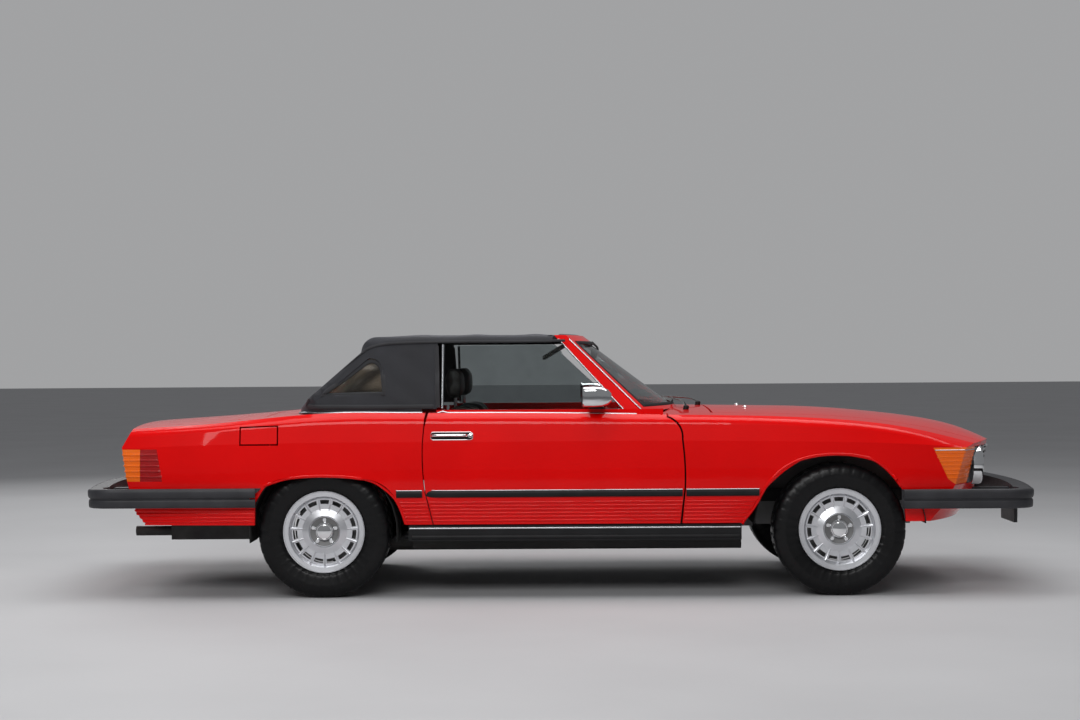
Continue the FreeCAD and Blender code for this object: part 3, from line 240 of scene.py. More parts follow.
def glassy(name, colour, rough=0.02, ior=1.45, ripple=(4.0, 0.02, 0.001)):
    """Clear or tinted glass or plastic. ripple is the scale, strength and depth of its
    unevenness."""
    material, bsdf = surface(name, colour, rough, Transmission_Weight=1.0, IOR=ior)
    at = place(material)
    scale, strength, depth = ripple
    wire(material, bsdf,
         Normal=bump(material, noise_of(material, at, scale, 1.0), strength, depth),
         Base_Color=worn_colour(material, at, colour, [c * 0.93 for c in colour], colour, 8.0))
    return material


def lens(name, colour, deep, zones=(), ribs=(220, "Z")):
    """Moulded lamp plastic: its colour on the ribs as a painted highlight, and a deeper copy
    between them as painted shade.
    Each zone is (axis, limit, colour, painted rib shade) and covers what lies below its limit, over
    the zones before it. Along Y the limit counts from the middle of the car to both sides."""
    material, bsdf = surface(
        name, colour, 0.2, Coat_Weight=0.5, Coat_Roughness=0.04, Specular_IOR_Level=0.25)
    at = place(material)
    fine = wave(material, at, *ribs)
    cells = add(material, "TexVoronoi", Vector=at, Scale=150.0).outputs["Distance"]
    # Painted light and shade: the deep colour in the troughs of the rib waves, the full colour on
    # their crests.
    tone = mix(material, fine, deep, colour)
    for axis, limit, over, over_rib_shade in zones:
        along = add(material, "SeparateXYZ", Vector=at).outputs[axis]
        if axis == "Y":
            along = calc(material, "ABSOLUTE", along)
        below = calc(material, "LESS_THAN", along, limit)
        tone = mix(material, below, tone, mix(material, fine, over_rib_shade, over))
    under = bump(material, fine, 0.5, 0.0012)
    wire(material, bsdf, Base_Color=tone, Emission_Color=tone, Emission_Strength=0.15,
         Normal=bump(material, cells, 0.25, 0.0008, under))
    return material


PAINT = car_paint()
BLACK_PAINT = grained("Black_paint", (0.01, 0.01, 0.011), 0.45, 160, 0.0004, Specular_IOR_Level=0.2)
BUMPER_RUBBER = grained(
    "Bumper_rubber", (0.03, 0.03, 0.034), 0.46, 900, 0.0003, Specular_IOR_Level=0.3)
TRIM_RUBBER = grained(
    "Trim_rubber", (0.011, 0.011, 0.012), 0.48, 900, 0.0002, Specular_IOR_Level=0.2)
TYRE = grained("Tyre_rubber", (0.0045, 0.0045, 0.005), 0.3, 500, 0.0003, Specular_IOR_Level=0.22)
ROOF_CLOTH = woven("Roof_cloth", (0.011, 0.0115, 0.015), 0.0009, 0.0004)
CARPET = woven("Carpet", (0.02, 0.019, 0.018), 0.003, 0.0015)
LEATHER = grained("Leather", (0.03, 0.026, 0.023), 0.46, 420, 0.0006)
DASH = grained("Dash_plastic", (0.02, 0.02, 0.021), 0.55, 650, 0.0004)
CHROME = metal("Bright_metal", (0.86, 0.87, 0.88), 0.07)
DULL_CHROME = metal("Anodised_trim", (0.46, 0.47, 0.49), 0.24)
ALLOY = metal("Alloy_silver", (0.76, 0.77, 0.8), 0.32, 0.05, 0.85, 0.4)
CAST = metal("Cast_metal", (0.22, 0.22, 0.22), 0.55, 0.1)
STEEL = metal("Pipe_steel", (0.34, 0.32, 0.3), 0.45, 0.12)
GLASS = glassy("Clear_glass", (0.68, 0.72, 0.72), 0.0, 1.18)
VINYL = glassy("Roof_vinyl", (0.74, 0.66, 0.55), 0.13, 1.4, (8.0, 0.5, 0.012))
# Each pair is a lens colour and a deeper copy of it, painted as shade between the ribs.
AMBER_TONES = ((1.0, 0.21, 0.003), (0.6, 0.06, 0.002))
RED_TONES = ((0.46, 0.003, 0.005), (0.16, 0.001, 0.002))
PALE_TONES = ((0.48, 0.44, 0.43), (0.3, 0.27, 0.26))
AMBER = lens("Amber_lens", *AMBER_TONES)
RED_LENS = lens("Red_lens", *RED_TONES)
TAIL_LENS = lens("Tail_lens", *RED_TONES, zones=[
    ("X", -2.001, *AMBER_TONES), ("Y", 0.715, *RED_TONES), ("Y", 0.59, *PALE_TONES)])
LAMP_GLASS = grained("Lamp_panel", (0.03, 0.03, 0.033), 0.3, 400, 0.0002)
ROOF_TRIM = woven("Roof_trim", (0.013, 0.013, 0.015), 0.0012, 0.0004)
MIRROR = metal("Mirror_silver", (0.9, 0.91, 0.92), 0.02, 0.01)
REFLECTOR = metal("Lamp_reflector", (0.85, 0.86, 0.87), 0.12, 0.04)
LENS_GLASS = glassy("Headlamp_glass", (0.95, 0.96, 0.97), 0.02, 1.3)
GRILLE_BLACK = grained("Grille_black", (0.02, 0.02, 0.022), 0.35, 300, 0.0002)
PLATE_WHITE = grained("Plate_white", (0.72, 0.72, 0.7), 0.4, 200, 0.0002, 0.93, 1.04)
UNDERSEAL = grained("Underseal", (0.012, 0.012, 0.012), 0.8, 240, 0.0012)
DIAL_BLACK = grained("Dial_black", (0.008, 0.008, 0.009), 0.3, 300, 0.0002)
SOOT = grained("Exhaust_steel", (0.035, 0.033, 0.032), 0.62, 120, 0.0006, 0.6, 1.8)

FINISH = {
    "red_paint": PAINT, "black_paint": BLACK_PAINT, "dark_rubber": BUMPER_RUBBER,
    "roof_fabric": ROOF_CLOTH, "roof_vinyl": VINYL, "clear_glass": GLASS, "amber_lens": AMBER,
    "red_lens": RED_LENS, "lamp_glass": LAMP_GLASS, "bright_metal": CHROME, "alloy": ALLOY,
    "tyre_rubber": TYRE, "seat_leather": LEATHER, "dash_plastic": DASH, "cast_metal": CAST,
    "pipe_steel": STEEL,
}


def dress(obj, material):
    """One material over the whole of a piece."""
    obj.data.materials.clear()
    obj.data.materials.append(material)


# Materials that some nodes wear in place of their slot's material.
NODE_FINISH = {"exhaust": SOOT, "tail_lamps": TAIL_LENS, "floor_pan": CARPET}

for row in frame["record"]["subparts"]:
    dress(nodes[row["node"]], NODE_FINISH.get(row["node"], FINISH[row["material_slot"]]))


# ---------------------------------------------------------------- mesh tools
def finish_piece(obj, material, body="car_body", smooth=True, angle=35):
    """Cleans, shades and dresses a piece, and puts it on its body."""
    made = bmesh.new()
    made.from_mesh(obj.data)
    bmesh.ops.remove_doubles(made, verts=made.verts, dist=1e-6)
    bmesh.ops.recalc_face_normals(made, faces=made.faces)
    made.to_mesh(obj.data)
    made.free()
    if smooth:
        obj.data.shade_smooth()
        obj.data.set_sharp_from_angle(angle=radians(angle))
    dress(obj, material)
    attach(obj, body)
    return obj


def modified(obj, kind, **settings):
    """Adds a modifier and applies it at once."""
    modifier = obj.modifiers.new(kind, kind)
    for key, value in settings.items():
        setattr(modifier, key, value)
    graph = bpy.context.evaluated_depsgraph_get()
    mesh = bpy.data.meshes.new_from_object(obj.evaluated_get(graph))
    obj.modifiers.clear()
    obj.data = mesh
    return obj


def turns_of(steps):
    """Angles evenly round a circle."""
    return [2 * pi * n / steps for n in range(steps)]


class Build:
    """Vertices and faces collected for one piece."""

    def __init__(self):
        self.verts, self.faces = [], []

    def add(self, verts, faces):
        start = len(self.verts)
        self.verts += [Vector(v) for v in verts]
        self.faces += [tuple(start + n for n in face) for face in faces]
        return self

    def grid(self, rows, close_rows=False, close_cols=False, caps=False):
        """Quads between rows of points."""
        count = len(rows[0])
        faces = []
        for r in range(len(rows) if close_rows else len(rows) - 1):
            for c in range(count if close_cols else count - 1):
                a, b = r * count + c, r * count + (c + 1) % count
                up = ((r + 1) % len(rows)) * count
                faces.append((a, b, up + (c + 1) % count, up + c))
        if caps:
            faces += [tuple(range(count)), tuple((len(rows) - 1) * count + n
                                                 for n in reversed(range(count)))]
        return self.add([p for row in rows for p in row], faces)

    def loft(self, rows):
        """Quads round closed rows of points, with both ends capped."""
        return self.grid(rows, close_cols=True, caps=True)

    def turned(self, centre, axis, profile, steps=48, hollow=False):
        """A profile of (along the axis, radius), turned about the axis. A hollow one is a
        closed profile, turned into a ring."""
        spin = Vector(axis).to_track_quat("Z", "Y").to_matrix()
        rows = [[Vector(centre) + spin @ Vector((radius * cos(a), radius * sin(a),
                                                   along))
                 for a in turns_of(steps)]
                for along, radius in profile]
        return self.grid(rows, close_rows=hollow, close_cols=True, caps=not hollow)

    def box(self, low, high, round_by=0.0):
        """A box, its edges rounded by round_by."""
        made = bmesh.new()
        bmesh.ops.create_cube(made, size=1)
        for v in made.verts:
            v.co = Vector(low) + Vector([(c + 0.5) * (h - l) for c, l, h in zip(v.co, low, high)])
        if round_by:
            bmesh.ops.bevel(made, geom=list(made.edges), offset=round_by, segments=3,
                            profile=0.5, affect="EDGES")
        return self.take(made)

    def take(self, made):
        """Adds a bmesh and frees it."""
        made.verts.index_update()
        self.add([v.co for v in made.verts], [[v.index for v in f.verts] for f in made.faces])
        made.free()
        return self

    def swept(self, path, profile, out, closed=False):
        """A closed profile of (outward, along the side) carried along a path. out gives the
        outward direction at each point."""
        count = len(path)
        rows = []
        for n, point in enumerate(path):
            before = path[(n - 1) % count if closed else max(n - 1, 0)]
            after = path[(n + 1) % count if closed else min(n + 1, count - 1)]
            along = (Vector(after) - Vector(before)).normalized()
            face = Vector(out[n] if isinstance(out, list) else out)
            face = (face - along * face.dot(along)).normalized()
            across = along.cross(face)
            rows.append([Vector(point) + face * u + across * v for u, v in profile])
        return self.grid(rows, close_rows=closed, close_cols=True, caps=not closed)

    def moved(self, matrix):
        self.verts = [matrix @ v for v in self.verts]
        return self

    def mesh(self, name):
        """A new object of these faces."""
        mesh = bpy.data.meshes.new(name)
        mesh.from_pydata([tuple(v) for v in self.verts], [], self.faces)
        return placed(name, mesh)

    def made(self, name, material, body="car_body", slot=None, smooth=True):
        """A finished piece that rides on a body."""
        obj = self.mesh(name)
        obj.data.validate()
        return finish_piece(obj, material, body, smooth)


def circle(radius, steps, tall=None):
    """A circle, or an ellipse if tall is given."""
    return [(radius * cos(a), (tall or radius) * sin(a)) for a in turns_of(steps)]


def heading(turn):
    return Vector((cos(turn), sin(turn), 0))


def lens_profile(width, depth, steps=6):
    """A flat-backed strip with a crowned face: (outward, across)."""
    crown = [(depth * sin(pi * n / steps), -width / 2 * cos(pi * n / steps))
             for n in range(steps + 1)]
    return [(-0.001, -width / 2)] + crown + [(-0.001, width / 2)]


def strip(name, material, path, size, out, body="car_body"):
    """A crowned strip of one width and depth along a path, as a piece."""
    return Build().swept(path, lens_profile(*size), out).made(name, material, body)


def smooth_path(points, steps=8):
    """A Catmull-Rom line through the points."""
    points = [Vector(p) for p in points]
    made = []
    for n in range(len(points) - 1):
        before, after = points[max(n - 1, 0)], points[min(n + 2, len(points) - 1)]
        here, there = points[n], points[n + 1]
        for k in range(steps):
            t = k / steps
            made.append(0.5 * (2 * here + (there - before) * t
                               + (2 * before - 5 * here + 4 * there - after) * t * t
                               + (3 * here - before - 3 * there + after) * t ** 3))
    return made + [points[-1]]


SKIN_NODES = [
    "front_fender_right", "rear_quarter_right", "door_right", "front_fender_left",
    "rear_quarter_left", "door_left", "hood", "boot_lid", "cowl", "rear_deck", "rear_panel",
    "front_valance", "front_signals", "tail_lamps", "headlamps", "grille"]


def tree_of(names):
    """A search tree over the faces of some CAD nodes."""
    verts, faces = [], []
    for name in names:
        mesh = nodes[name].data
        start = len(verts)
        verts += [v.co for v in mesh.vertices]
        faces += [[start + i for i in poly.vertices] for poly in mesh.polygons]
    return BVHTree.FromPolygons(verts, faces)


SKIN = tree_of(SKIN_NODES)


def hit(tree, start, aim):
    """Where a ray meets a skin, and the skin's direction there, turned towards the start."""
    at, normal = tree.ray_cast(start, aim)[:2]
    if at is None:
        return None, None
    return at, normal if normal.dot(aim) < 0 else -normal


def side_hit(tree, x, z, side):
    return hit(tree, Vector((x, side * 2, z)), Vector((0, -side, 0)))


def on_side(x, z, side, proud=0.0):
    """The skin's point and outward direction at a place in side view."""
    at, normal = side_hit(SKIN, x, z, side)
    if at is None:
        return Vector((x, side * 0.87, z)), Vector((0, side, 0))
    return at + normal * proud, normal


COWL_Z = 0.884


def on_top(x, y, tree=None, proud=0.0):
    """The skin's point and upward direction at a place in plan."""
    at, normal = hit(tree or SKIN, Vector((x, y, 3)), Vector((0, 0, -1)))
    if at is None or at.z < 0.6:
        return Vector((x, y, COWL_Z)), Vector((0, 0, 1))
    return at + normal * proud, normal


def parted(pairs):
    """Pairs of points and directions as a list of points and a list of directions."""
    return [list(part) for part in zip(*pairs)]


def side_path(points, side, proud=0.0, steps=8):
    """A line drawn in side view, laid on the skin: its points and outward directions."""
    flat = smooth_path([(x, 0, z) for x, z in points], steps)
    return parted(on_side(p.x, p.z, side, proud) for p in flat)


# ---------------------------------------------------------------- wheels and tyres
WHEELS = {"front_right": -1, "front_left": 1, "rear_right": -1, "rear_left": 1}
TYRE_STEPS = 216
BEAD_RADIUS = 0.196
RIM_SLOTS = 15
WHEEL_BOLTS = 5
BOLT_CIRCLE = 0.056


def middle(node):
    """A node's middle and half its size."""
    low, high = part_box(node)
    return (low + high) / 2, (high - low) / 2


def tyre_points(half, outer, inner):
    """The tyre's section from bead to bead, as (across, radius)."""
    wall = [
        (half - 0.022, inner), (half - 0.013, inner + 0.004), (half - 0.006, inner + 0.016),
        (half - 0.0045, inner + 0.02), (half - 0.0035, inner + 0.03), (half - 0.001, inner + 0.042),
        (half, inner + 0.055), (half + 0.0012, inner + 0.06), (half + 0.0012, inner + 0.068),
        (half, inner + 0.073), (half - 0.001, inner + 0.084), (half - 0.004, outer - 0.026),
        (half - 0.009, outer - 0.014), (half - 0.016, outer - 0.006), (half - 0.024, outer - 0.002)]
    tread = [0.078, 0.071, 0.066, 0.0655, 0.0565, 0.056, 0.046, 0.036, 0.0355, 0.0265, 0.026,
             0.016, 0.008, 0.0]
    face = [(x, outer - 0.0015 * (x / 0.078) ** 2) for x in tread]
    right = wall + face
    return right + [(-x, r) for x, r in reversed(right[:-1])]


def tread_depth(across, step):
    """How deep the tread pattern is cut at a place."""
    wide = abs(across)
    if 0.056 < wide < 0.0658 or 0.0262 < wide < 0.0358:
        return 0.0075
    if 0.0658 <= wide < 0.08:
        return 0.002 if step % 6 == 0 else 0.0
    if wide > 0.0358 and (step + round(wide * 90)) % 6 == 2:
        return 0.006
    if wide <= 0.0262 and (step + 3) % 6 == 0:
        return 0.005
    return 0.0


def tyres():
    """Tyres with grooves, blocks and sipes cut in the tread."""
    for where in WHEELS:
        node = "tyre_" + where
        centre, half = middle(node)
        rows = []
        for across, radius in tyre_points(half.y, half.x, BEAD_RADIUS):
            cut = [radius - tread_depth(across, step) for step in range(TYRE_STEPS)]
            rows.append([(centre.x + r * cos(angle), centre.y + across, centre.z + r * sin(angle))
                         for r, angle in zip(cut, turns_of(TYRE_STEPS))])
        tyre = Build().grid(rows, close_cols=True).made("Tyre_" + where, TYRE, "wheel_" + where)
        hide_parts(node)


def wheel_details():
    """Fins between the slots, bolts in their well over a dark ring of painted shade, cap and valve
    on each cast wheel.
    """
    for where, side in WHEELS.items():
        centre, half = middle("rim_" + where)
        face, hub, axle = half.y, (0, 0, 0), (0, side, 0)

        def on_wheel(built, name, material, at=centre):
            built.moved(Matrix.Translation(at)).made(f"{name}_{where}", material, "wheel_" + where)

        made = Build()
        for n in range(RIM_SLOTS):
            turn = Matrix.Rotation(2 * pi * (n + 0.5) / RIM_SLOTS, 4, "Y")
            rib = []
            for radius, back, wide in (
                    (0.098, 0.037, 0.002), (0.112, 0.0335, 0.0032), (0.135, 0.03, 0.0042),
                    (0.152, 0.029, 0.0046), (0.162, 0.027, 0.0055)):
                rib.append([turn @ Vector((x, side * (face - back + up), radius))
                            for x, up in ((-wide, -0.008), (-wide * 0.7, 0.003), (0, 0.0045),
                                          (wide * 0.7, 0.003), (wide, -0.008))])
            made.grid(rib, caps=True)
        lip = [(face - 0.001, 0.1945), (face + 0.0012, 0.1925), (face + 0.0012, 0.19),
               (face - 0.001, 0.1885)]
        made.turned(hub, axle, lip, 96, True)
        well = [(face - 0.034, 0.074), (face - 0.0285, 0.0735), (face - 0.0275, 0.0715),
                (face - 0.029, 0.0695), (face - 0.035, 0.069)]
        made.turned(hub, axle, well, 72, True)
        on_wheel(made, "Wheel_face", ALLOY)
        bright = Build()
        for turn in turns_of(WHEEL_BOLTS):
            angle = turn + 0.3
            at = Vector((BOLT_CIRCLE * cos(angle), 0, BOLT_CIRCLE * sin(angle)))
            head = [(face - 0.04, 0.0105), (face - 0.0235, 0.0105), (face - 0.0215, 0.0088)]
            bright.turned(at, axle, head, 6)
            washer = [(face - 0.038, 0.0135), (face - 0.0325, 0.0135), (face - 0.0315, 0.0115)]
            bright.turned(at, axle, washer, 20)
        cap = [(face - 0.02, 0.0405), (face - 0.0125, 0.0395), (face - 0.0108, 0.0365),
               (face - 0.0118, 0.0345), (face - 0.0128, 0.0335), (face - 0.0105, 0.024),
               (face - 0.0085, 0.012), (face - 0.008, 0.002)]
        bright.turned(hub, axle, cap, 48)
        # Painted shade: a dark cast-metal ring laid in the bolt well, where the alloy well falls in
        # shade.
        recess = [(face - 0.0345, 0.0425), (face - 0.0325, 0.0425), (face - 0.0285, 0.0695),
                  (face - 0.0305, 0.0695)]
        on_wheel(Build().turned(hub, axle, recess, 60, True), "Wheel_well_painted_shade", CAST)
        on_wheel(bright, "Wheel_bolts", CHROME)
        stem = Build().turned((0.172, 0, 0), (0.25, side, 0), [
            (face - 0.06, 0.0042), (face - 0.018, 0.0042), (face - 0.017, 0.0048),
            (face - 0.006, 0.0046), (face - 0.005, 0.003)], 14)
        on_wheel(stem, "Valve", TRIM_RUBBER, centre - Vector((0.25 * (face - 0.03), 0, 0)))
        brake = [(face - 0.1, 0.15), (face - 0.1, 0.07), (face - 0.112, 0.07), (face - 0.112, 0.15)]
        body = {"front_right": "knuckle_right", "front_left": "knuckle_left"}.get(where, "car_body")
        disc = Build().turned(centre, axle, brake[::-1], 72, True)
        disc.made("Brake_disc_" + where, CAST, body)


# ---------------------------------------------------------------- roof cloth and windows
ROOF_CORE = ((-0.9, -0.2), 0.95)
OUTWARD = 0.2


def roof_core(point):
    """The nearest place to a point on a line inside the roof."""
    (rear, front), height = ROOF_CORE
    return Vector((min(max(point.x, rear), front), 0, height))


def outward_faces(node):
    """A CAD node's outward-facing skin, cut into a fine mesh by evenly spaced planes."""
    made = bmesh.new()
    made.from_mesh(nodes[node].data)
    bmesh.ops.remove_doubles(made, verts=made.verts, dist=1e-5)
    inward = []
    for face in made.faces:
        at = face.calc_center_median()
        if face.normal.dot((at - roof_core(at)).normalized()) < OUTWARD:
            inward.append(face)
    bmesh.ops.delete(made, geom=inward, context="FACES")
    return made


def sliced(made, step, low, high):
    """Cuts a mesh by planes across all three axes."""
    for axis in range(3):
        normal = [0, 0, 0]
        normal[axis] = 1
        count = int((high[axis] - low[axis]) / step)
        for n in range(1, count):
            at = [0, 0, 0]
            at[axis] = low[axis] + n * step
            bmesh.ops.bisect_plane(made, geom=[*made.verts, *made.edges, *made.faces],
                                   plane_co=at, plane_no=normal, dist=1e-6)
    made.normal_update()
    return made


def cloth_height(at):
    """How far the roof cloth stands off its flat place: bows, sag between them, wrinkles."""
    bows = (-0.12, -0.42, -0.7, -0.93)
    nearest = min(abs(at.x - b) for b in bows)
    across = max(0.0, 1 - (abs(at.y) / 0.66) ** 4)
    sag = -0.0045 * (1 - exp(-(nearest / 0.055) ** 2)) * across if at.z > 1.19 else 0.0
    ripple = noise.noise(Vector((at.x * 7, at.y * 7, at.z * 9))) * 0.0016
    pull = 0.0
    if at.z < 1.2 and abs(at.y) > 0.55:
        slant = (at.x + 0.95) * 0.75 + (at.z - 1.05)
        pull = 0.0016 * sin(slant * 46) * exp(-((at.x + 0.75) / 0.16) ** 2)
    return sag + ripple + pull


def vinyl_height(at):
    """Wrinkles in a flexible window."""
    soft = noise.noise(Vector((at.x * 11 + at.z * 6, at.y * 9, at.z * 13)))
    fine = noise.noise(Vector((at.x * 34, at.y * 27 + 5, at.z * 30)))
    return 0.003 * soft + 0.0008 * fine


def stretched(name, node, step, height_of, thickness, material):
    """A sheet laid over a CAD node's outer skin, and its area."""
    made = sliced(outward_faces(node), step, *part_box(node))
    moves = [(v, v.normal * height_of(v.co)) for v in made.verts if not v.is_boundary]
    for vertex, move in moves:
        vertex.co += move
    mesh = bpy.data.meshes.new(name)
    made.to_mesh(mesh)
    made.free()
    obj = placed(name, mesh)
    area = sum(p.area for p in mesh.polygons)
    modified(obj, "SOLIDIFY", thickness=thickness, offset=-1)
    finish_piece(obj, material, angle=50)
    return obj, area


ROOF_TREE = tree_of(["soft_top", "soft_top_windows"])


def from_core(points, proud):
    """Points drawn near the roof, laid on its outer skin, with outward directions."""
    found, facing = [], []
    for point in points:
        core = roof_core(point)
        aim = (point - core).normalized()
        at, normal = hit(ROOF_TREE, core + aim * 2, -aim)
        if at is None:
            at, normal = point, aim
        found.append(at + normal * proud)
        facing.append(normal)
    return found, facing


def band(built, points, width, depth, closed=False):
    """A flat strip of cloth or trim laid on the roof along a line."""
    raw = points if closed else smooth_path(points, 6)
    path, out = from_core(raw, 0.0012)
    built.swept(path, lens_profile(width, depth), out, closed)


QUARTER_EDGE = [
    (-1.13, 0.966), (-0.984, 0.969), (-0.837, 0.971), (-0.843, 1.028), (-0.851, 1.086),
    (-0.862, 1.118), (-0.882, 1.137), (-0.902, 1.143), (-0.925, 1.14), (-0.99, 1.082),
    (-1.06, 1.024)]


def roof():
    """The stretched cloth, its windows, and the bindings over their seams."""
    cloth, area = stretched("Roof_cloth_sheet", "soft_top", 0.03, cloth_height, 0.0035, ROOF_CLOTH)
    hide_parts("soft_top")
    panes, pane_area = stretched(
        "Roof_window_sheet", "soft_top_windows", 0.022, vinyl_height, 0.0012, VINYL)
    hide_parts("soft_top_windows")
    trims = Build()
    for side in (-1, 1):
        edge = [Vector((x, side * 0.74, z)) for x, z in QUARTER_EDGE]
        dense = []
        for n, point in enumerate(edge):
            dense += [point.lerp(edge[(n + 1) % len(edge)], k / 4) for k in range(4)]
        band(trims, dense, 0.022, 0.0035, True)
        band(trims, [(-0.578, side * 0.8, 0.905), (-0.585, side * 0.74, 1.06),
                     (-0.592, side * 0.66, 1.2)], 0.02, 0.004)
        band(trims, [
            (0.03, side * 0.655, 1.222), (-0.3, side * 0.655, 1.222), (-0.59, side * 0.655, 1.222),
            (-0.84, side * 0.66, 1.214), (-0.935, side * 0.665, 1.185)], 0.014, 0.0035)
        band(trims, [(-0.935, side * 0.665, 1.185), (-1.04, side * 0.7, 1.09),
                     (-1.15, side * 0.725, 0.99), (-1.215, side * 0.74, 0.92)], 0.016, 0.004)
        band(trims, [(-0.6, side * 0.8, 0.908), (-0.9, side * 0.8, 0.908),
                     (-1.08, side * 0.79, 0.91), (-1.2, side * 0.74, 0.912)], 0.024, 0.0045)
    band(trims, [(-0.95, y, 1.225) for y in (-0.6, -0.3, 0, 0.3, 0.6)], 0.016, 0.0035)
    corners = [(-0.39, 1.14), (0.39, 1.14), (0.39, 0.955), (-0.39, 0.955)]
    border = []
    for n, (y, z) in enumerate(corners):
        y2, z2 = corners[(n + 1) % 4]
        border += [Vector((-1.1, y + (y2 - y) * k / 14, z + (z2 - z) * k / 14))
                   for k in range(14)]
    band(trims, border, 0.026, 0.0035, True)
    binding = trims.made("Roof_binding", ROOF_TRIM)


# ---------------------------------------------------------------- bright trim and rub strips
SIDES = {"right": -1, "left": 1}
STRIP_Z = 0.498
STRIPS = {"Quarter_strip": (-0.772, -0.65, "car_body"), "Door_strip": (-0.635, 0.581, "door"),
          "Fender_strip": (0.599, 0.943, "car_body")}


def rub_strips():
    """Rubber strips along the sides, each under a bright line."""
    for word, side in SIDES.items():
        for name, (rear, front, body) in STRIPS.items():
            body = f"door_{word}" if body == "door" else body
            path, out = side_path([(rear + (front - rear) * n / 10, STRIP_Z) for n in range(11)],
                                  side, 0.002, 2)
            rubber = Build().swept(path, [
                (-0.001, -0.0165), (0.006, -0.0165), (0.01, -0.013), (0.0125, -0.006),
                (0.0125, 0.006), (0.01, 0.012), (0.006, 0.0155), (-0.001, 0.0155)], out)
            rubber.made(f"{name}_{word}", TRIM_RUBBER, body)
            line = [p + Vector((0, 0, 0.0178)) for p in path]
            bright = Build().swept(line, [
                (-0.001, -0.0018), (0.006, -0.0018), (0.0075, -0.0006), (0.0075, 0.0008),
                (0.006, 0.0018), (-0.001, 0.0018)], out)
            bright.made(f"{name}_bright_{word}", DULL_CHROME, body)
    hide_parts("body_trim")
    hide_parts("door_trim_right")
    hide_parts("door_trim_left")


SILL_Y = 0.8685


def sill_trims():
    for word, side in SIDES.items():
        for name, material, rear, front, z, size in (
                ("Sill_strip_", DULL_CHROME, -0.712, 0.855, 0.334, (0.009, 0.004)),
                ("Sill_rib_", BLACK_PAINT, -0.7, 0.85, 0.292, (0.02, 0.006))):
            path = [Vector((rear, side * SILL_Y, z)).lerp(Vector((front, side * SILL_Y, z)), n / 20)
                    for n in range(21)]
            strip(name + word, material, path, size, (0, side, 0))


BELT_PLAN = [
    (-0.652, 0.812), (-0.8, 0.812), (-0.95, 0.812), (-1.05, 0.811), (-1.14, 0.793),
    (-1.215, 0.752), (-1.262, 0.64), (-1.277, 0.42), (-1.283, 0.2), (-1.284, 0)]


def belt_trims():
    """Bright strips under the door glass and round the foot of the roof."""
    for word, side in SIDES.items():
        door = f"door_{word}"
        tree = tree_of([door])
        path = smooth_path([on_top(x / 100, side * 0.806, tree)[0]
                            for x in range(-63, 42, 5)], 2)
        strip("Belt_strip_" + word, DULL_CHROME, path, (0.01, 0.004), (0, side * 0.35, 1), door)
        seal = [p + Vector((0, -side * 0.016, 0.003)) for p in path]
        strip("Glass_seal_" + word, TRIM_RUBBER, seal, (0.014, 0.006), (0, side * 0.2, 1), door)
        path = smooth_path([on_top(x, side * y, None, 0.001)[0] for x, y in BELT_PLAN], 4)
        strip("Roof_foot_strip_" + word, DULL_CHROME, path, (0.008, 0.004), (0, 0, 1))


SCREEN = {"foot": 0.424, "rake": 0.39, "low_z": 0.862, "high_z": 1.25, "low_half": 0.742,
          "top_half": 0.6, "low_bow": 0.214, "top_bow": 0.087}


def screen_point(across, up, back=0.0, drawn_in=0.0):
    """A point on the screen's front face; across runs from -1 to 1 and up from 0 to 1."""
    half = SCREEN["low_half"] + (SCREEN["top_half"] - SCREEN["low_half"]) * up
    bow = SCREEN["low_bow"] + (SCREEN["top_bow"] - SCREEN["low_bow"]) * up
    radius = (half ** 2 + bow ** 2) / (2 * bow)
    y = across * (half - drawn_in)
    x = SCREEN["foot"] - SCREEN["rake"] * up + bow - (radius - sqrt(radius ** 2 - y ** 2))
    return Vector((x - back, y, SCREEN["low_z"] + (SCREEN["high_z"] - SCREEN["low_z"]) * up))


def screen_trims():
    """Bright edges and rubber seals round the windscreen."""
    bright, seal = Build(), Build()
    for side in (-1, 1):
        for back, taper in ((0.004, 0.0), (0.09, 0.036)):
            path = [screen_point(side, u / 20, back - taper * u / 20)
                    + Vector((0, side * 0.001, 0)) for u in range(1, 20)]
            bright.swept(path, lens_profile(0.007, 0.003), (0, side, 0.25))
        post = [screen_point(side, u / 20, 0.0015, 0.044) for u in range(2, 19)]
        seal.swept(post, lens_profile(0.016, 0.005), (0.75, side * 0.1, 0.6))
    for up, wide in ((0.115, 0.022), (0.905, 0.02)):
        rail = [screen_point(n / 20, up, 0.001, 0.046) for n in range(-20, 21)]
        seal.swept(rail, lens_profile(wide, 0.005), (0.75, 0, 0.6))
    bright.made("Screen_bright_trim", DULL_CHROME)
    seal.made("Screen_seal", TRIM_RUBBER)
    header = [screen_point(n / 20, 1.0, 0.03) for n in range(-19, 20)]
    strip("Header_trim", DULL_CHROME, header, (0.03, 0.006), (0.1, 0, 1))


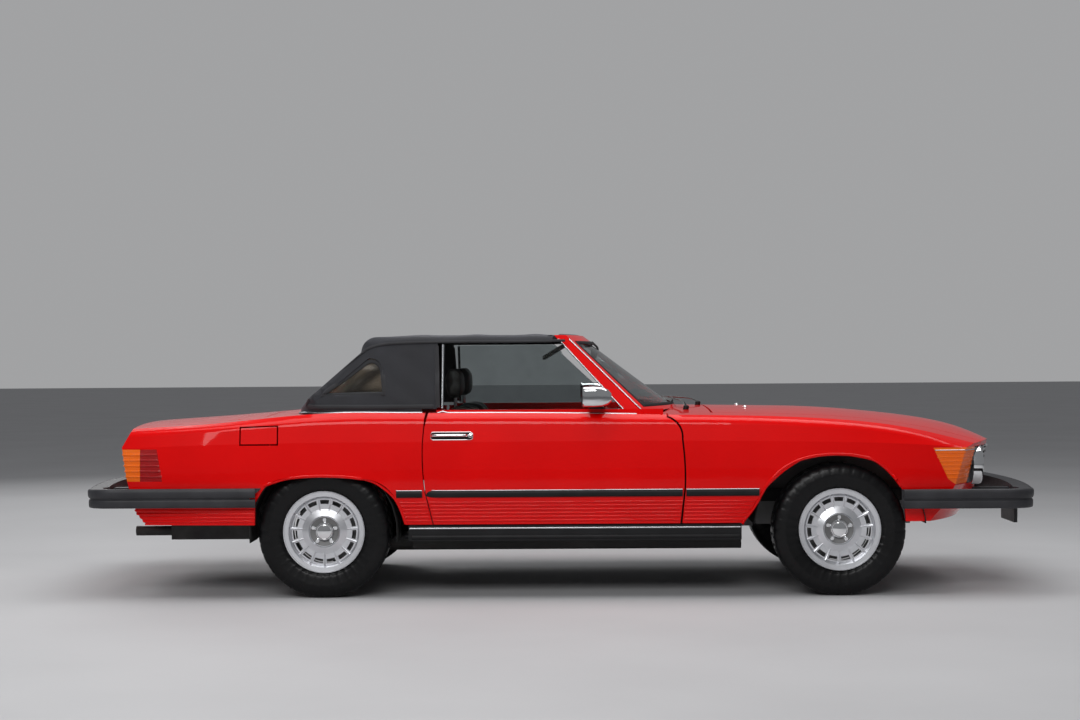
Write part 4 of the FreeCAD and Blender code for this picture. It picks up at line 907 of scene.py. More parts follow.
def wipers():
    arms, blades = Build(), Build()
    for pivot_y, tip in ((0.06, 0.8), (-0.5, 0.1)):
        foot = on_top(screen_point(pivot_y / 0.742, 0.0).x + 0.075, pivot_y)[0]
        arms.turned(foot, (0.2, 0, 1), [
            (-0.002, 0.014), (0.016, 0.014), (0.021, 0.01), (0.022, 0.004)], 20)
        end = screen_point(tip, 0.17, -0.03)
        knee = foot.lerp(end, 0.25) + Vector((0, 0, 0.028))
        path = smooth_path([foot + Vector((0, 0, 0.018)), knee, end], 8)
        arms.swept(path, [
            (-0.002, -0.006), (0.003, -0.005), (0.003, 0.005), (-0.002, 0.006)], (0.5, 0, 1))
        line = [screen_point(tip - 0.32 + 0.6 * n / 16, 0.145 + 0.02 * n / 16, -0.016)
                for n in range(17)]
        blades.swept(line, [(-0.012, -0.0015), (-0.002, -0.003), (0.004, -0.004),
                            (0.004, 0.004), (-0.002, 0.003), (-0.012, 0.0015)], (0.75, 0, 0.6))
    arms.made("Wiper_arms", BLACK_PAINT)
    blades.made("Wiper_blades", TRIM_RUBBER)
    jets = Build()
    for y in (-0.26, 0.26):
        at, up = on_top(0.93, y)
        jets.turned(at, up, [(-0.002, 0.01), (0.003, 0.01), (0.006, 0.007), (0.009, 0.004)], 16)
    jets.made("Washer_jets", CHROME, "hood")


# ---------------------------------------------------------------- mirrors and handles
def rounded_ring(half_y, half_z, corner, steps=6):
    """A rounded rectangle as (y, z) points."""
    ring = []
    for cy, cz, start in ((1, 1, 0), (-1, 1, 1), (-1, -1, 2), (1, -1, 3)):
        for n in range(steps + 1):
            a = (start + n / steps) * pi / 2
            ring.append((
                cy * (half_y - corner) + corner * cos(a), cz * (half_z - corner) + corner * sin(a)))
    return ring


MIRROR_Y, MIRROR_Z = 0.905, 0.955


def mirrors():
    """A bright shell, a rubber rim and foot, and the mirror itself, on each door."""
    for word, side in SIDES.items():
        body = "door_" + word
        mid = Vector((0.0, side * MIRROR_Y, MIRROR_Z))
        rows = []
        for x, wide, tall, drop in (
                (0.112, 0.049, 0.044, 0), (0.118, 0.0525, 0.0475, 0), (0.165, 0.0535, 0.049, 0),
                (0.205, 0.05, 0.0455, -0.001), (0.232, 0.042, 0.036, -0.003),
                (0.248, 0.026, 0.02, -0.005)):
            rows.append([mid + Vector((x, y, z + drop))
                         for y, z in rounded_ring(wide, tall, min(0.024, wide * 0.6, tall * 0.6))])
        Build().loft(rows).made("Mirror_shell_" + word, CHROME, body)
        rim = [mid + Vector((0.1105, y, z)) for y, z in rounded_ring(0.047, 0.042, 0.022)]
        Build().swept(rim, circle(0.0028, 6), (-1, 0, 0), True).made(
            "Mirror_rim_" + word, TRIM_RUBBER, body)
        pane = [[mid + Vector((0.1095, y * k, z * k)) for y, z in rounded_ring(0.045, 0.04, 0.021)]
                for k in (1.0, 0.5, 0.02)]
        Build().loft(pane).made("Mirror_glass_" + word, MIRROR, body)
        foot = []
        for z, x, wide, deep, y in (
                (0.894, 0.182, 0.04, 0.016, 0.815), (0.902, 0.18, 0.034, 0.014, 0.825),
                (0.914, 0.178, 0.026, 0.012, 0.855), (0.926, 0.176, 0.022, 0.012, 0.875)):
            foot.append([Vector((x + a, side * (y + b), z))
                         for a, b in rounded_ring(wide, deep, deep * 0.9)])
        Build().loft(foot).made("Mirror_foot_" + word, TRIM_RUBBER, body)


HANDLE_AT = (-0.508, 0.772)


def handles():
    """A bar over a recess, with a round lock in front of it, on each door."""
    for word, side in SIDES.items():
        body = "door_" + word
        back, out = on_side(*HANDLE_AT, side)
        out = Vector((0, out.y, out.z)).normalized()
        up = Vector((0, -out.z * side, abs(out.y))).normalized()
        plate, grip = Build(), Build()
        ring = [back + Vector((x, 0, 0)) + up * z + out * 0.0012
                for x, z in rounded_ring(0.098, 0.0165, 0.012)]
        inner = [back + Vector((x * 0.93, 0, 0)) + up * z * 0.6 - out * 0.0006
                 for x, z in rounded_ring(0.098, 0.0165, 0.012)]
        plate.loft([ring, inner])
        plate.made("Handle_recess_" + word, TRIM_RUBBER, body)
        bar = smooth_path([back + Vector((x, 0, 0)) + out * stand for x, stand in
                           ((-0.097, 0.003), (-0.088, 0.02), (-0.06, 0.029), (0.0, 0.031),
                            (0.055, 0.029), (0.07, 0.02), (0.076, 0.006))], 6)
        grip.swept(bar, circle(0.004, 12, 0.0055), out)
        grip.turned(back + Vector((0.088, 0, 0)), out, [
            (-0.002, 0.0105), (0.01, 0.0105), (0.012, 0.0085), (0.0125, 0.002)], 24)
        rim = [back + Vector((x, 0, 0)) + up * z + out * 0.0015
               for x, z in rounded_ring(0.1, 0.0185, 0.013)]
        grip.swept(rim, circle(0.0014, 6), out, True)
        grip.made("Door_handle_" + word, CHROME, body)


# ---------------------------------------------------------------- lamps, grille and plates
def on_end(y, z, end, tree):
    """The skin's point and outward direction seen from the front (1) or the rear (-1)."""
    return hit(tree, Vector((end * 4, y, z)), Vector((-end, 0, 0)))


def end_line(tree, half, z, proud):
    """A line across the nose at one height: its points and outward directions."""
    found = (on_end(k / 22 * half, z, 1, tree) for k in range(-22, 23))
    return parted((at + normal * proud, normal) for at, normal in found if at)


def round_corner(centre, z, turns, tree, proud=0.0):
    """Points on the skin round a corner of the body at one height, from a core outwards."""
    points, facing = [], []
    for turn in turns:
        aim = heading(turn)
        core = Vector((*centre, z))
        at, normal = hit(tree, core + aim * 1.2, -aim)
        if at and (at - core).dot(aim) >= 0.02:
            points.append(at + normal * proud)
            facing.append(normal)
    return points, facing


def lamp_ribs(name, node, levels, centre, turns, material, size):
    """Moulded ribs round a lamp, one at each level."""
    built = Build()
    tree = tree_of([node])
    for z in levels:
        points, facing = round_corner(centre, z, turns, tree, 0.0)
        if len(points) > 2:
            built.swept(points, lens_profile(*size), facing)
    built.made(name, material)


def fan(start, end, count):
    """Angles from start to end, given in degrees."""
    return [radians(start + (end - start) * n / count) for n in range(count + 1)]


def corner_lamps():
    for word, side in SIDES.items():
        rear_turns = fan(172, 68, 60) if side > 0 else fan(188, 292, 60)
        lamp_ribs("Tail_lamp_ribs_" + word, "tail_lamps", (0.585, 0.611, 0.637, 0.663, 0.689),
                  (-1.93, side * 0.66), rear_turns, TAIL_LENS, (0.012, 0.005))
        front_turns = fan(8 * side, 112 * side, 60)
        front_at = (1.84, side * 0.66)
        lamp_ribs("Signal_ribs_" + word, "front_signals",
                  (0.556, 0.576, 0.596, 0.616, 0.636, 0.656, 0.676), front_at, front_turns,
                  AMBER, (0.009, 0.0035))
        points, facing = round_corner(
            front_at, 0.688, front_turns, tree_of(["front_signals"]), 0.0005)
        strip("Signal_edge_" + word, CHROME, points, (0.006, 0.005), facing)


LAMP_MID = (0.5825, 0.6095)


LENS_RADIUS = 0.079


def headlamps():
    """Ring, bowl and fluted lens of the two round lamps."""
    y_mid, z_mid = LAMP_MID
    tree = tree_of(["headlamps"])
    for word, side in SIDES.items():
        face = on_end(side * y_mid, z_mid, 1, tree)[0].x
        at = Vector((face, side * y_mid, z_mid))
        ring = Build().turned(at, (1, 0, 0), [
            (-0.04, 0.085), (-0.03, 0.096), (0.004, 0.099), (0.013, 0.0975), (0.017, 0.094),
            (0.018, 0.0905), (0.014, 0.087), (0.006, 0.0845), (-0.004, 0.0835)], 72, True)
        ring.made("Headlamp_ring_" + word, CHROME)
        bowl = Build().turned(at, (1, 0, 0), [
            (0.004, 0.0835), (-0.002, 0.0825), (0.002, 0.078), (0.004, 0.06), (0.0045, 0.034),
            (0.005, 0.001)], 72)
        bowl.made("Headlamp_bowl_" + word, REFLECTOR)
        lens = Build().turned(at, (1, 0, 0), [
            (0.007, 0.0838), (0.012, 0.08), (0.0175, 0.065), (0.0215, 0.045),
            (0.0238, 0.022), (0.0245, 0.001)], 72)
        for n in range(-7, 8):
            y = n * 0.01
            half = sqrt(LENS_RADIUS ** 2 - y ** 2)
            path = [Vector((face + 0.0243 - 0.0125 * (y * y + (half * k) ** 2) / 0.0064,
                            side * y_mid + y, z_mid + half * k))
                    for k in (j / 8 for j in range(-8, 9))]
            lens.swept(path, lens_profile(0.004, 0.0012, 4), (1, 0, 0))
        lens.made("Headlamp_lens_" + word, LENS_GLASS)


def grille():
    """Black bars with a fine core behind them, and bright lines above and below."""
    tree = tree_of(["grille"])
    for name, material, levels, half, size, proud in (
            ("Grille_bars", GRILLE_BLACK, [0.532 + 0.026 * n for n in range(7)], 0.452,
             (0.0095, 0.007), -0.001),
            ("Grille_edge", CHROME, (0.5265, 0.6925), 0.47, (0.007, 0.009), 0.0)):
        bars = Build()
        for z in levels:
            points, facing = end_line(tree, half, z, proud)
            bars.swept(points, lens_profile(*size), facing)
        bars.made(name, material)
    core = Build()
    for k in range(-44, 45):
        y = k * 0.0102
        x = 2.045 - 0.16 * y * y
        core.box((x - 0.006, y - 0.0012, 0.528), (x + 0.004, y + 0.0012, 0.69))
    back = [[Vector((2.036 - 0.16 * (k / 20 * 0.465) ** 2, k / 20 * 0.465, z))
             for k in range(-20, 21)] for z in (0.526, 0.693)]
    thick = [[p - Vector((0.004, 0, 0)) for p in row] for row in back]
    core.grid([back[0], back[1], thick[1], thick[0]], close_rows=True)
    core.made("Grille_core", TRIM_RUBBER, "car_body", "black_paint")


PLATE_HALF = (0.15, 0.074)


def plates():
    """Blank plates, with a raised edge and two bolts."""
    for name, node, body, end, z_mid in (
            ("Front_plate", "front_bumper", "car_body", 1, 0.389),
            ("Rear_plate", "boot_lid", "boot_lid", -1, 0.672)):
        tree = tree_of([node])
        high_at = on_end(0.0, z_mid + 0.055, end, tree)[0]
        low_at = on_end(0.0, z_mid - 0.055, end, tree)[0]
        up = (high_at - low_at).normalized()
        out = Vector((0, 1, 0)).cross(up).normalized()
        out = out if out.x * end > 0 else -out
        centre = (high_at + low_at) / 2 + out * (0.0006 if end > 0 else 0.004)
        built = Build()
        rows = []
        half_y, half_z = PLATE_HALF
        for inset, lift in ((0.0, 0.0), (0.0, 0.0018), (0.002, 0.0026), (0.004, 0.0026),
                            (0.006, 0.0014), (0.01, 0.0014)):
            rows.append([centre + Vector((0, y, 0)) + up * z + out * lift
                         for y, z in rounded_ring(half_y - inset, half_z - inset, 0.012)])
        built.loft(rows)
        built.made(name, PLATE_WHITE, body)
        bolts = Build()
        for y in (-0.0889, 0.0889):
            at = centre + Vector((0, y, 0)) + up * 0.06
            bolts.turned(at, out, [
                (0.0, 0.0062), (0.0032, 0.0062), (0.0046, 0.005), (0.0052, 0.0015)], 20)
        bolts.made(name + "_bolts", CHROME, body)
    glow = Build()
    for y in (-0.19, 0.19):
        at = on_end(y, 0.57, -1, tree_of(["rear_panel"]))[0]
        glow.box(at - Vector((0.016, 0.03, 0.01)), at + Vector((0.006, 0.03, 0.01)), 0.003)
    glow.made("Plate_lamps", TRIM_RUBBER)


# ---------------------------------------------------------------- arches and underside
FRONT_LIP = [
    (0.867, 0.35), (0.934, 0.444), (0.98, 0.52), (1.054, 0.598), (1.139, 0.644), (1.23, 0.664),
    (1.32, 0.668), (1.4, 0.662), (1.481, 0.642), (1.545, 0.596), (1.585, 0.55), (1.612, 0.515)]
REAR_LIP = [
    (-1.4, 0.534), (-1.345, 0.553), (-1.281, 0.57), (-1.19, 0.578), (-1.095, 0.579), (-0.98, 0.572),
    (-0.895, 0.555), (-0.835, 0.52), (-0.782, 0.476), (-0.75, 0.412), (-0.733, 0.355)]


def arch_lips():
    for word, side in SIDES.items():
        for name, points in (("Front_arch_lip", FRONT_LIP), ("Rear_arch_lip", REAR_LIP)):
            middle_x = sum(x for x, _ in points) / len(points)
            grown = [(middle_x + (x - middle_x) * 1.012, z + 0.007 * (z > 0.5)) for x, z in points]
            path, out = side_path(grown, side, -0.0008, 5)
            out = [Vector((0, side, 0.02)) for _ in out]
            Build().swept(path, [
                (-0.002, -0.006), (0.003, -0.0055), (0.0055, -0.003), (0.006, 0.0), (0.005, 0.003),
                (0.002, 0.0065), (-0.002, 0.008)], out).made(f"{name}_{word}", PAINT)


AXLE_Z = 0.315
NO_CEILING = 9


def wheel_housings():
    """Thin shells over the wheels; the front ones are cut off flat on top."""
    for word, side in SIDES.items():
        for name, x, radius, ceiling, start, end, inner, outer in (
                ("Front_housing", 1.33, 0.405, 0.385, 4, 176, 0.475, 0.835),
                ("Rear_housing", -1.126, 0.352, NO_CEILING, -8, 188, 0.608, 0.838)):
            rows = []
            for y in (inner, inner + 0.01, (inner + outer) / 2, outer):
                row = []
                for n in range(41):
                    turn = radians(start + (end - start) * n / 40)
                    reach = min(radius, ceiling / max(sin(turn), 0.1)) + 0.0015 * sin(n * 2.4)
                    row.append((x + reach * cos(turn), side * y, AXLE_Z + reach * sin(turn)))
                rows.append(row)
            obj = Build().grid(rows).made(f"{name}_{word}", UNDERSEAL)
            modified(obj, "SOLIDIFY", thickness=0.003, offset=0)
            dress(obj, UNDERSEAL)


# ---------------------------------------------------------------- seats
SEAT_MID = 0.388
SIM_FRAMES = 20
SWELL_PRESSURE = 4.0
SWELL_CAP = 0.024


def cushion_form(side_points, half):
    """A closed block from a side view, its flanks drawn in towards the ends."""
    rows = []
    centre = sum((Vector((x, 0, z)) for x, z in side_points), Vector()) / len(side_points)
    for share in (-1.0, -0.93, -0.7, -0.35, 0.0, 0.35, 0.7, 0.93, 1.0):
        shrink = 0.82 if abs(share) == 1.0 else 0.95 if abs(share) > 0.9 else 1.0
        rows.append([centre + (Vector((x, 0, z)) - centre) * shrink + Vector((0, half * share, 0))
                     for x, z in side_points])
    return Build().loft(rows)


def inflated(built, name, voxel):
    """Remeshes a form evenly, then lets its cover swell as cloth under pressure."""
    obj = built.mesh(name)
    modified(obj, "REMESH", mode="VOXEL", voxel_size=voxel, use_smooth_shade=True)
    modified(obj, "SMOOTH", factor=0.5, iterations=4)
    before = [v.co.copy() for v in obj.data.vertices]
    cloth = obj.modifiers.new("Cloth", "CLOTH")
    settings = cloth.settings
    settings.use_pressure = True
    settings.uniform_pressure_force = SWELL_PRESSURE
    settings.effector_weights.gravity = 0
    settings.quality = 5
    settings.tension_stiffness = settings.compression_stiffness = 18
    cloth.point_cache.frame_start = 1
    cloth.point_cache.frame_end = SIM_FRAMES
    scene = bpy.context.scene
    for step in range(1, SIM_FRAMES + 1):
        scene.frame_set(step)
    graph = bpy.context.evaluated_depsgraph_get()
    swollen = obj.evaluated_get(graph).to_mesh()
    after = [v.co.copy() for v in swollen.vertices]
    obj.evaluated_get(graph).to_mesh_clear()
    obj.modifiers.clear()
    for vertex, old, new in zip(obj.data.vertices, before, after):
        move = new - old
        if move.length > SWELL_CAP:
            move *= SWELL_CAP / move.length
        vertex.co = old + move
    scene.frame_set(1)
    return obj


def channel(value, pitch, depth):
    """The soft groove of a row of sewn channels."""
    near = abs((value / pitch) % 1.0 - 0.5) * 2
    return -depth * max(0.0, near - 0.72) / 0.28


def sewn(obj, inner_half, along, pitch, depth, facing):
    """Channels across the middle panel of a cushion."""
    for vertex in obj.data.vertices:
        at = vertex.co
        if abs(at.y) > inner_half or vertex.normal.dot(facing) < 0.5:
            continue
        fade = min(1.0, (inner_half - abs(at.y)) / 0.02)
        vertex.co = at + facing * channel(at.dot(along), pitch, depth) * fade
    return obj


CUSHION = [(-0.335, 0.335), (0.035, 0.335), (0.052, 0.375), (0.054, 0.425), (0.03, 0.455),
           (-0.06, 0.456), (-0.2, 0.44), (-0.335, 0.428)]
BACKREST = [(-0.505, 0.43), (-0.355, 0.45), (-0.37, 0.62), (-0.402, 0.85), (-0.435, 0.912),
            (-0.48, 0.922), (-0.535, 0.91), (-0.552, 0.86), (-0.53, 0.64)]
HEADREST = [(-0.546, 0.95), (-0.492, 0.944), (-0.48, 0.99), (-0.482, 1.06), (-0.51, 1.09),
            (-0.545, 1.088), (-0.558, 1.05), (-0.556, 0.99)]


def seats():
    """Two seats: swollen cushions on shells, posts and runners. The right one is the left one
    mirrored."""
    forms = (("Base_cushion", CUSHION, 0.212, 0.009, Vector((0.05, 0, 1)), Vector((1, 0, 0)), 0.55),
             ("Back_cushion", BACKREST, 0.21, 0.009, Vector((1, 0, 0.16)), Vector((0, 0, 1)), 0.6),
             ("Headrest", HEADREST, 0.13, 0.007, Vector((1, 0, 0)), Vector((0, 1, 0)), 0.7))
    for name, points, half, voxel, facing, along, fill in forms:
        shape = inflated(cushion_form(points, half), name + "_left", voxel)
        if name != "Headrest":
            for vertex in shape.data.vertices:
                outer = max(0.0, (abs(vertex.co.y) - half * 0.62) / (half * 0.38))
                lift = 0.02 * sin(min(outer, 1.0) * pi * 0.55)
                if vertex.normal.dot(facing) > 0.2:
                    vertex.co += facing * lift * 0.9
            sewn(shape, half * 0.62, along, 0.062, 0.007, facing.normalized())
        for vertex in shape.data.vertices:
            vertex.co += Vector((0, SEAT_MID, 0)) + vertex.normal * 0.0012 * noise.noise(
                vertex.co * 17)
        other = placed(name + "_right", shape.data.copy())
        for vertex in other.data.vertices:
            vertex.co.y = -vertex.co.y
        other.data.flip_normals()
        for obj in (shape, other):
            finish_piece(obj, LEATHER)
    for word, side in (("left", 1), ("right", -1)):
        mid = side * SEAT_MID
        shell = Build().box((-0.49, mid - 0.205, 0.264), (0.045, mid + 0.205, 0.335), 0.012)
        shell.box((-0.565, mid - 0.19, 0.4), (-0.53, mid + 0.19, 0.86), 0.012)
        shell.made("Cushion_frame_" + word, DASH)
        posts = Build()
        for y in (-0.055, 0.055):
            posts.turned((-0.518, mid + y, 0.9), (0, 0, 1), [(0.0, 0.006), (0.075, 0.006)], 16)
        posts.made("Headrest_posts_" + word, CHROME)
        runners = Build()
        for y in (-0.19, 0.19):
            runners.box((-0.5, mid + y - 0.012, 0.2632), (0.06, mid + y + 0.012, 0.285), 0.003)
        runners.made("Cushion_runners_" + word, STEEL, "car_body", "cast_metal")
    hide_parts("seats")


# ---------------------------------------------------------------- dashboard and controls
WHEEL_AT = Vector((0.15, SEAT_MID, 0.79))
WHEEL_AXIS = Vector((-sin(radians(66)), 0, cos(radians(66))))


def steering():
    """Ridged rim, three spokes with a padded hub, column and stalks."""
    spin = WHEEL_AXIS.to_track_quat("Z", "Y").to_matrix()
    ring, pad = Build(), Build()
    rows = []
    for n, turn in enumerate(turns_of(96)):
        grip = 0.015 if n % 6 in (2, 3) else 0.0142
        outward = heading(turn)
        rows.append([WHEEL_AT + spin @ (outward * (0.195 + grip * cos(a))
                                        + Vector((0, 0, grip * sin(a) * 0.92)))
                     for a in turns_of(14)])
    ring.grid(rows, close_rows=True, close_cols=True)
    wheel = ring.made("Steering_rim", LEATHER)
    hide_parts("steering_wheel")
    for turn in (pi / 2, -pi / 2, pi):
        outward = heading(turn)
        across = Vector((-outward.y, outward.x, 0))
        spoke = []
        for reach, wide, deep, sink in (
                (0.03, 0.03, 0.008, -0.022), (0.08, 0.02, 0.007, -0.019),
                (0.14, 0.016, 0.006, -0.01), (0.184, 0.019, 0.007, -0.001)):
            spoke.append([WHEEL_AT + spin @ (outward * reach + across * wide * a
                                             + Vector((0, 0, sink + deep * b)))
                          for a, b in ((-1, -0.6), (-0.9, 0.6), (0, 1), (0.9, 0.6), (1, -0.6),
                                       (0, -1))])
        pad.loft(spoke)
    pad.turned(WHEEL_AT, WHEEL_AXIS, [
        (-0.05, 0.036), (-0.03, 0.05), (-0.012, 0.058), (-0.004, 0.056), (0.001, 0.046),
        (0.002, 0.02), (0.002, 0.002)], 40)
    pad.made("Steering_spokes", DASH)
    column = Build().turned(WHEEL_AT, WHEEL_AXIS, [
        (-0.172, 0.0255), (-0.165, 0.04), (-0.075, 0.042), (-0.055, 0.036), (-0.05, 0.02)], 32)
    for sign in (-1, 1):
        start = WHEEL_AT - WHEEL_AXIS * 0.075
        stalk = [start + Vector((0, sign * reach, rise)) for reach, rise in
                 ((0.03, 0.0), (0.08, 0.004), (0.13, 0.01), (0.165, 0.012))]
        column.swept(smooth_path(stalk, 4), circle(0.0055, 10), WHEEL_AXIS)
    column.made("Steering_column", DASH)


def gauge(built, bright, marks, at, out, radius):
    """A dial: bowl, bright ring, ticks and needle."""
    built.turned(at, out, [
        (-0.012, radius), (0.006, radius), (0.006, radius * 0.92), (-0.004, radius * 0.88),
        (-0.004, 0.001)], 36)
    bright.turned(at, out, [
        (0.005, radius * 0.93), (0.0075, radius * 0.96), (0.007, radius * 1.02),
        (0.003, radius * 1.03)], 48, True)
    spin = Vector(out).to_track_quat("Z", "Y").to_matrix()
    for n in range(13):
        turn = radians(-210 + 20 * n)
        outward = spin @ heading(turn)
        across = spin @ Vector((-sin(turn), cos(turn), 0))
        length = 0.16 if n % 3 else 0.24
        near, far = at + outward * radius * (0.82 - length), at + outward * radius * 0.82
        lift = Vector(out) * -0.0032
        marks.grid([[near - across * 0.0008 + lift, near + across * 0.0008 + lift],
                    [far - across * 0.0008 + lift, far + across * 0.0008 + lift]])
    outward = spin @ heading(radians(-200))
    marks.swept([at + Vector(out) * -0.0015, at + outward * radius * 0.72 - Vector(out) * 0.0015],
                circle(0.001, 6), out)


def dashboard():
    """Gauges under a hood, vents, radio, glove box and knobs."""
    out = Vector((-0.985, 0, 0.17))
    dials, bright, marks = Build(), Build(), Build()
    for y in (0.3, 0.476):
        gauge(dials, bright, marks, Vector((0.296, y, 0.772)), out, 0.06)
    for y in (-0.105, 0.0, 0.105):
        gauge(dials, bright, marks, Vector((0.3, y, 0.785)), out, 0.034)
    dials.made("Dials", DIAL_BLACK)
    bright.made("Dial_rings", CHROME)
    marks.made("Dial_marks", PLATE_WHITE, "car_body", "dash_plastic", False)
    hood_rows = []
    for x, grow in ((0.288, 0.0), (0.27, 0.004), (0.262, 0.01), (0.3, 0.016), (0.42, 0.012)):
        row = []
        for n in range(33):
            turn = pi * n / 32
            row.append(Vector((x, 0.388 + (0.165 + grow) * cos(turn),
                               0.775 + (0.078 + grow) * max(sin(turn), 0.0) ** 0.7)))
        hood_rows.append(row)
    shroud = Build().grid(hood_rows)
    obj = shroud.made("Dial_hood", DASH)
    modified(obj, "SOLIDIFY", thickness=0.006, offset=-1)
    finish_piece(obj, DASH)
    fittings, slats = Build(), Build()
    for low, high, edge in (((0.292, -0.125, 0.655), (0.315, 0.125, 0.742), 0.006),
                            ((0.294, -0.64, 0.655), (0.312, -0.235, 0.745), 0.008),
                            ((0.297, -0.56, 0.775), (0.312, -0.3, 0.782), 0.003)):
        fittings.box(low, high, edge)
    for y in (-0.62, 0.62):
        fittings.box((0.29, y - 0.055, 0.775), (0.32, y + 0.055, 0.825), 0.006)
        for n in range(5):
            z = 0.782 + 0.009 * n
            slats.box((0.284, y - 0.048, z), (0.292, y + 0.048, z + 0.003), 0.001)
    for n in range(3):
        fittings.turned((0.29, -0.07 + 0.07 * n, 0.685), (-1, 0, 0.05),
                        [(0.0, 0.014), (0.014, 0.0125), (0.016, 0.01), (0.016, 0.001)], 24)
    fittings.box((0.284, -0.09, 0.712), (0.296, 0.09, 0.734), 0.003)
    fittings.made("Dash_fittings", DASH)
    slats.made("Dash_vents", TRIM_RUBBER, "car_body", "dash_plastic")
    top = Build()
    for n in range(26):
        y = -0.6 + 0.048 * n
        top.box((0.47, y - 0.018, 0.8535), (0.5, y + 0.018, 0.856), 0.0008)
    top.made("Demister_slots", TRIM_RUBBER, "car_body", "dash_plastic")


def console():
    """Tunnel cover with gear lever, gaiter and hand brake."""
    cover = Build()
    rows = []
    for x, wide, z in ((-0.56, 0.115, 0.452), (-0.3, 0.12, 0.462), (0.0, 0.118, 0.47),
                       (0.16, 0.112, 0.52), (0.27, 0.108, 0.655)):
        rows.append([Vector((x, y, 0.4305 if k in (0, 6) else z - drop)) for k, (y, drop) in
                     enumerate(((-wide, 0), (-wide, 0.012), (-wide * 0.9, 0.002), (0, 0),
                                (wide * 0.9, 0.002), (wide, 0.012), (wide, 0)))])
    cover.loft(rows)
    cover.made("Console", DASH)
    gaiter = Build().turned((0.06, 0, 0.476), (-0.15, 0, 1), [
        (-0.004, 0.058), (0.01, 0.054), (0.014, 0.047), (0.024, 0.045), (0.028, 0.037),
        (0.04, 0.034), (0.046, 0.026), (0.062, 0.022), (0.07, 0.013), (0.08, 0.01)], 32)
    gaiter.made("Gear_gaiter", LEATHER)
    lever = Build().turned((0.06, 0, 0.476), (-0.15, 0, 1), [
        (0.06, 0.0055), (0.15, 0.005), (0.152, 0.014), (0.166, 0.021), (0.182, 0.023),
        (0.198, 0.018), (0.205, 0.008), (0.206, 0.001)], 28)
    lever.made("Gear_lever", CHROME)
    brake = Build()
    brake.swept(smooth_path([
        (-0.12, 0.045, 0.468), (-0.19, 0.045, 0.492), (-0.27, 0.045, 0.512), (-0.36, 0.045, 0.53)],
        6), circle(0.013, 14), (0, 1, 0))
    brake.made("Hand_brake", LEATHER)
    mirror = Build()
    centre = Vector((0.165, 0, 1.158))
    rows = [[centre + Vector((x, y * k, z * k)) for y, z in rounded_ring(0.105, 0.026, 0.02)]
            for x, k in ((-0.004, 0.94), (0.0, 1.0), (0.014, 0.98), (0.026, 0.7))]
    mirror.loft(rows)
    mirror.swept(smooth_path([
        centre + Vector((0.024, 0, 0.0)), centre + Vector((0.03, 0, 0.03)),
        centre + Vector((0.0, 0, 0.062))], 5), circle(0.006, 10), (0, 1, 0))
    mirror.made("Cabin_mirror", DASH)
    visors = Build()
    for side in (-1, 1):
        rows = [[Vector((0.028 - 0.036 * k, side * 0.33 + y, 1.205 - 0.022 * k + (z * 0.01)))
                 for y, z in rounded_ring(0.235, 0.9, 0.4, 4)] for k in (0.0, 1.0, 2.0, 3.0)]
        visors.loft(rows)
    visors.made("Sun_visors", LEATHER)


def door_cards():
    """Inner door panels with armrest, loudspeaker and window crank."""
    for word, side in SIDES.items():
        body = "door_" + word
        card, trim = Build(), Build()
        rows = []
        for z, y, start, end in (
                (0.44, 0.752, -0.52, 0.415), (0.5, 0.75, -0.54, 0.425),
                (0.64, 0.748, -0.555, 0.43), (0.78, 0.75, -0.56, 0.425),
                (0.845, 0.756, -0.555, 0.415)):
            rows.append([(start + (end - start) * n / 24, side * (y + 0.0015 * sin(n * 0.9)), z)
                         for n in range(25)])
        back = [[(x, side * 0.7605, z) for x, y, z in row] for row in rows]
        card.grid(rows + back[::-1], close_rows=True)
        card.made("Door_card_" + word, LEATHER, body)
        arm = [Vector((x, side * y, z)) for x, y, z in
               ((-0.36, 0.745, 0.585), (-0.33, 0.722, 0.602), (-0.1, 0.716, 0.61),
                (0.1, 0.716, 0.606), (0.19, 0.73, 0.59), (0.21, 0.745, 0.57))]
        trim.swept(smooth_path(arm, 6), circle(0.022, 14, 0.018), (0, -side, 0.3))
        trim.turned((0.25, side * 0.748, 0.555), (0, -side, 0), [
            (0.0, 0.068), (0.006, 0.066), (0.008, 0.06), (0.005, 0.054), (0.006, 0.001)], 40)
        trim.made("Door_armrest_" + word, DASH, body)
        crank = Build().turned((0.02, side * 0.746, 0.7), (0, -side, 0), [
            (0.0, 0.022), (0.008, 0.02), (0.014, 0.012), (0.014, 0.001)], 28)
        lever = [(0.02, side * 0.733, 0.7), (0.055, side * 0.728, 0.69), (0.1, side * 0.727, 0.672)]
        crank.swept(smooth_path(lever, 5), circle(0.0055, 10), (0, -side, 0))
        crank.turned((0.1, side * 0.727, 0.672), (0, -side, 0), [
            (-0.002, 0.009), (0.02, 0.01), (0.026, 0.008), (0.027, 0.001)], 20)
        crank.made("Window_crank_" + word, CHROME, body)


# ---------------------------------------------------------------- ribs, bumper faces and frames
RIB_PITCH = 0.0174
RIB_LEVELS = [0.3702 + RIB_PITCH * n for n in range(5)]


def runs_on(node, z, side, low, high, step=0.01):
    """Stretches of a panel along the car at one height: lists of points and directions."""
    tree = tree_of([node])
    runs, points, facing = [], [], []
    for n in range(int((high - low) / step) + 1):
        x = low + n * step
        at, normal = side_hit(tree, x, z, side)
        if at is None or abs(at.y) < 0.72:
            runs.append((points, facing))
            points, facing = [], []
            continue
        points.append(at)
        facing.append(normal)
    return [run for run in runs + [(points, facing)] if len(run[0]) > 3]


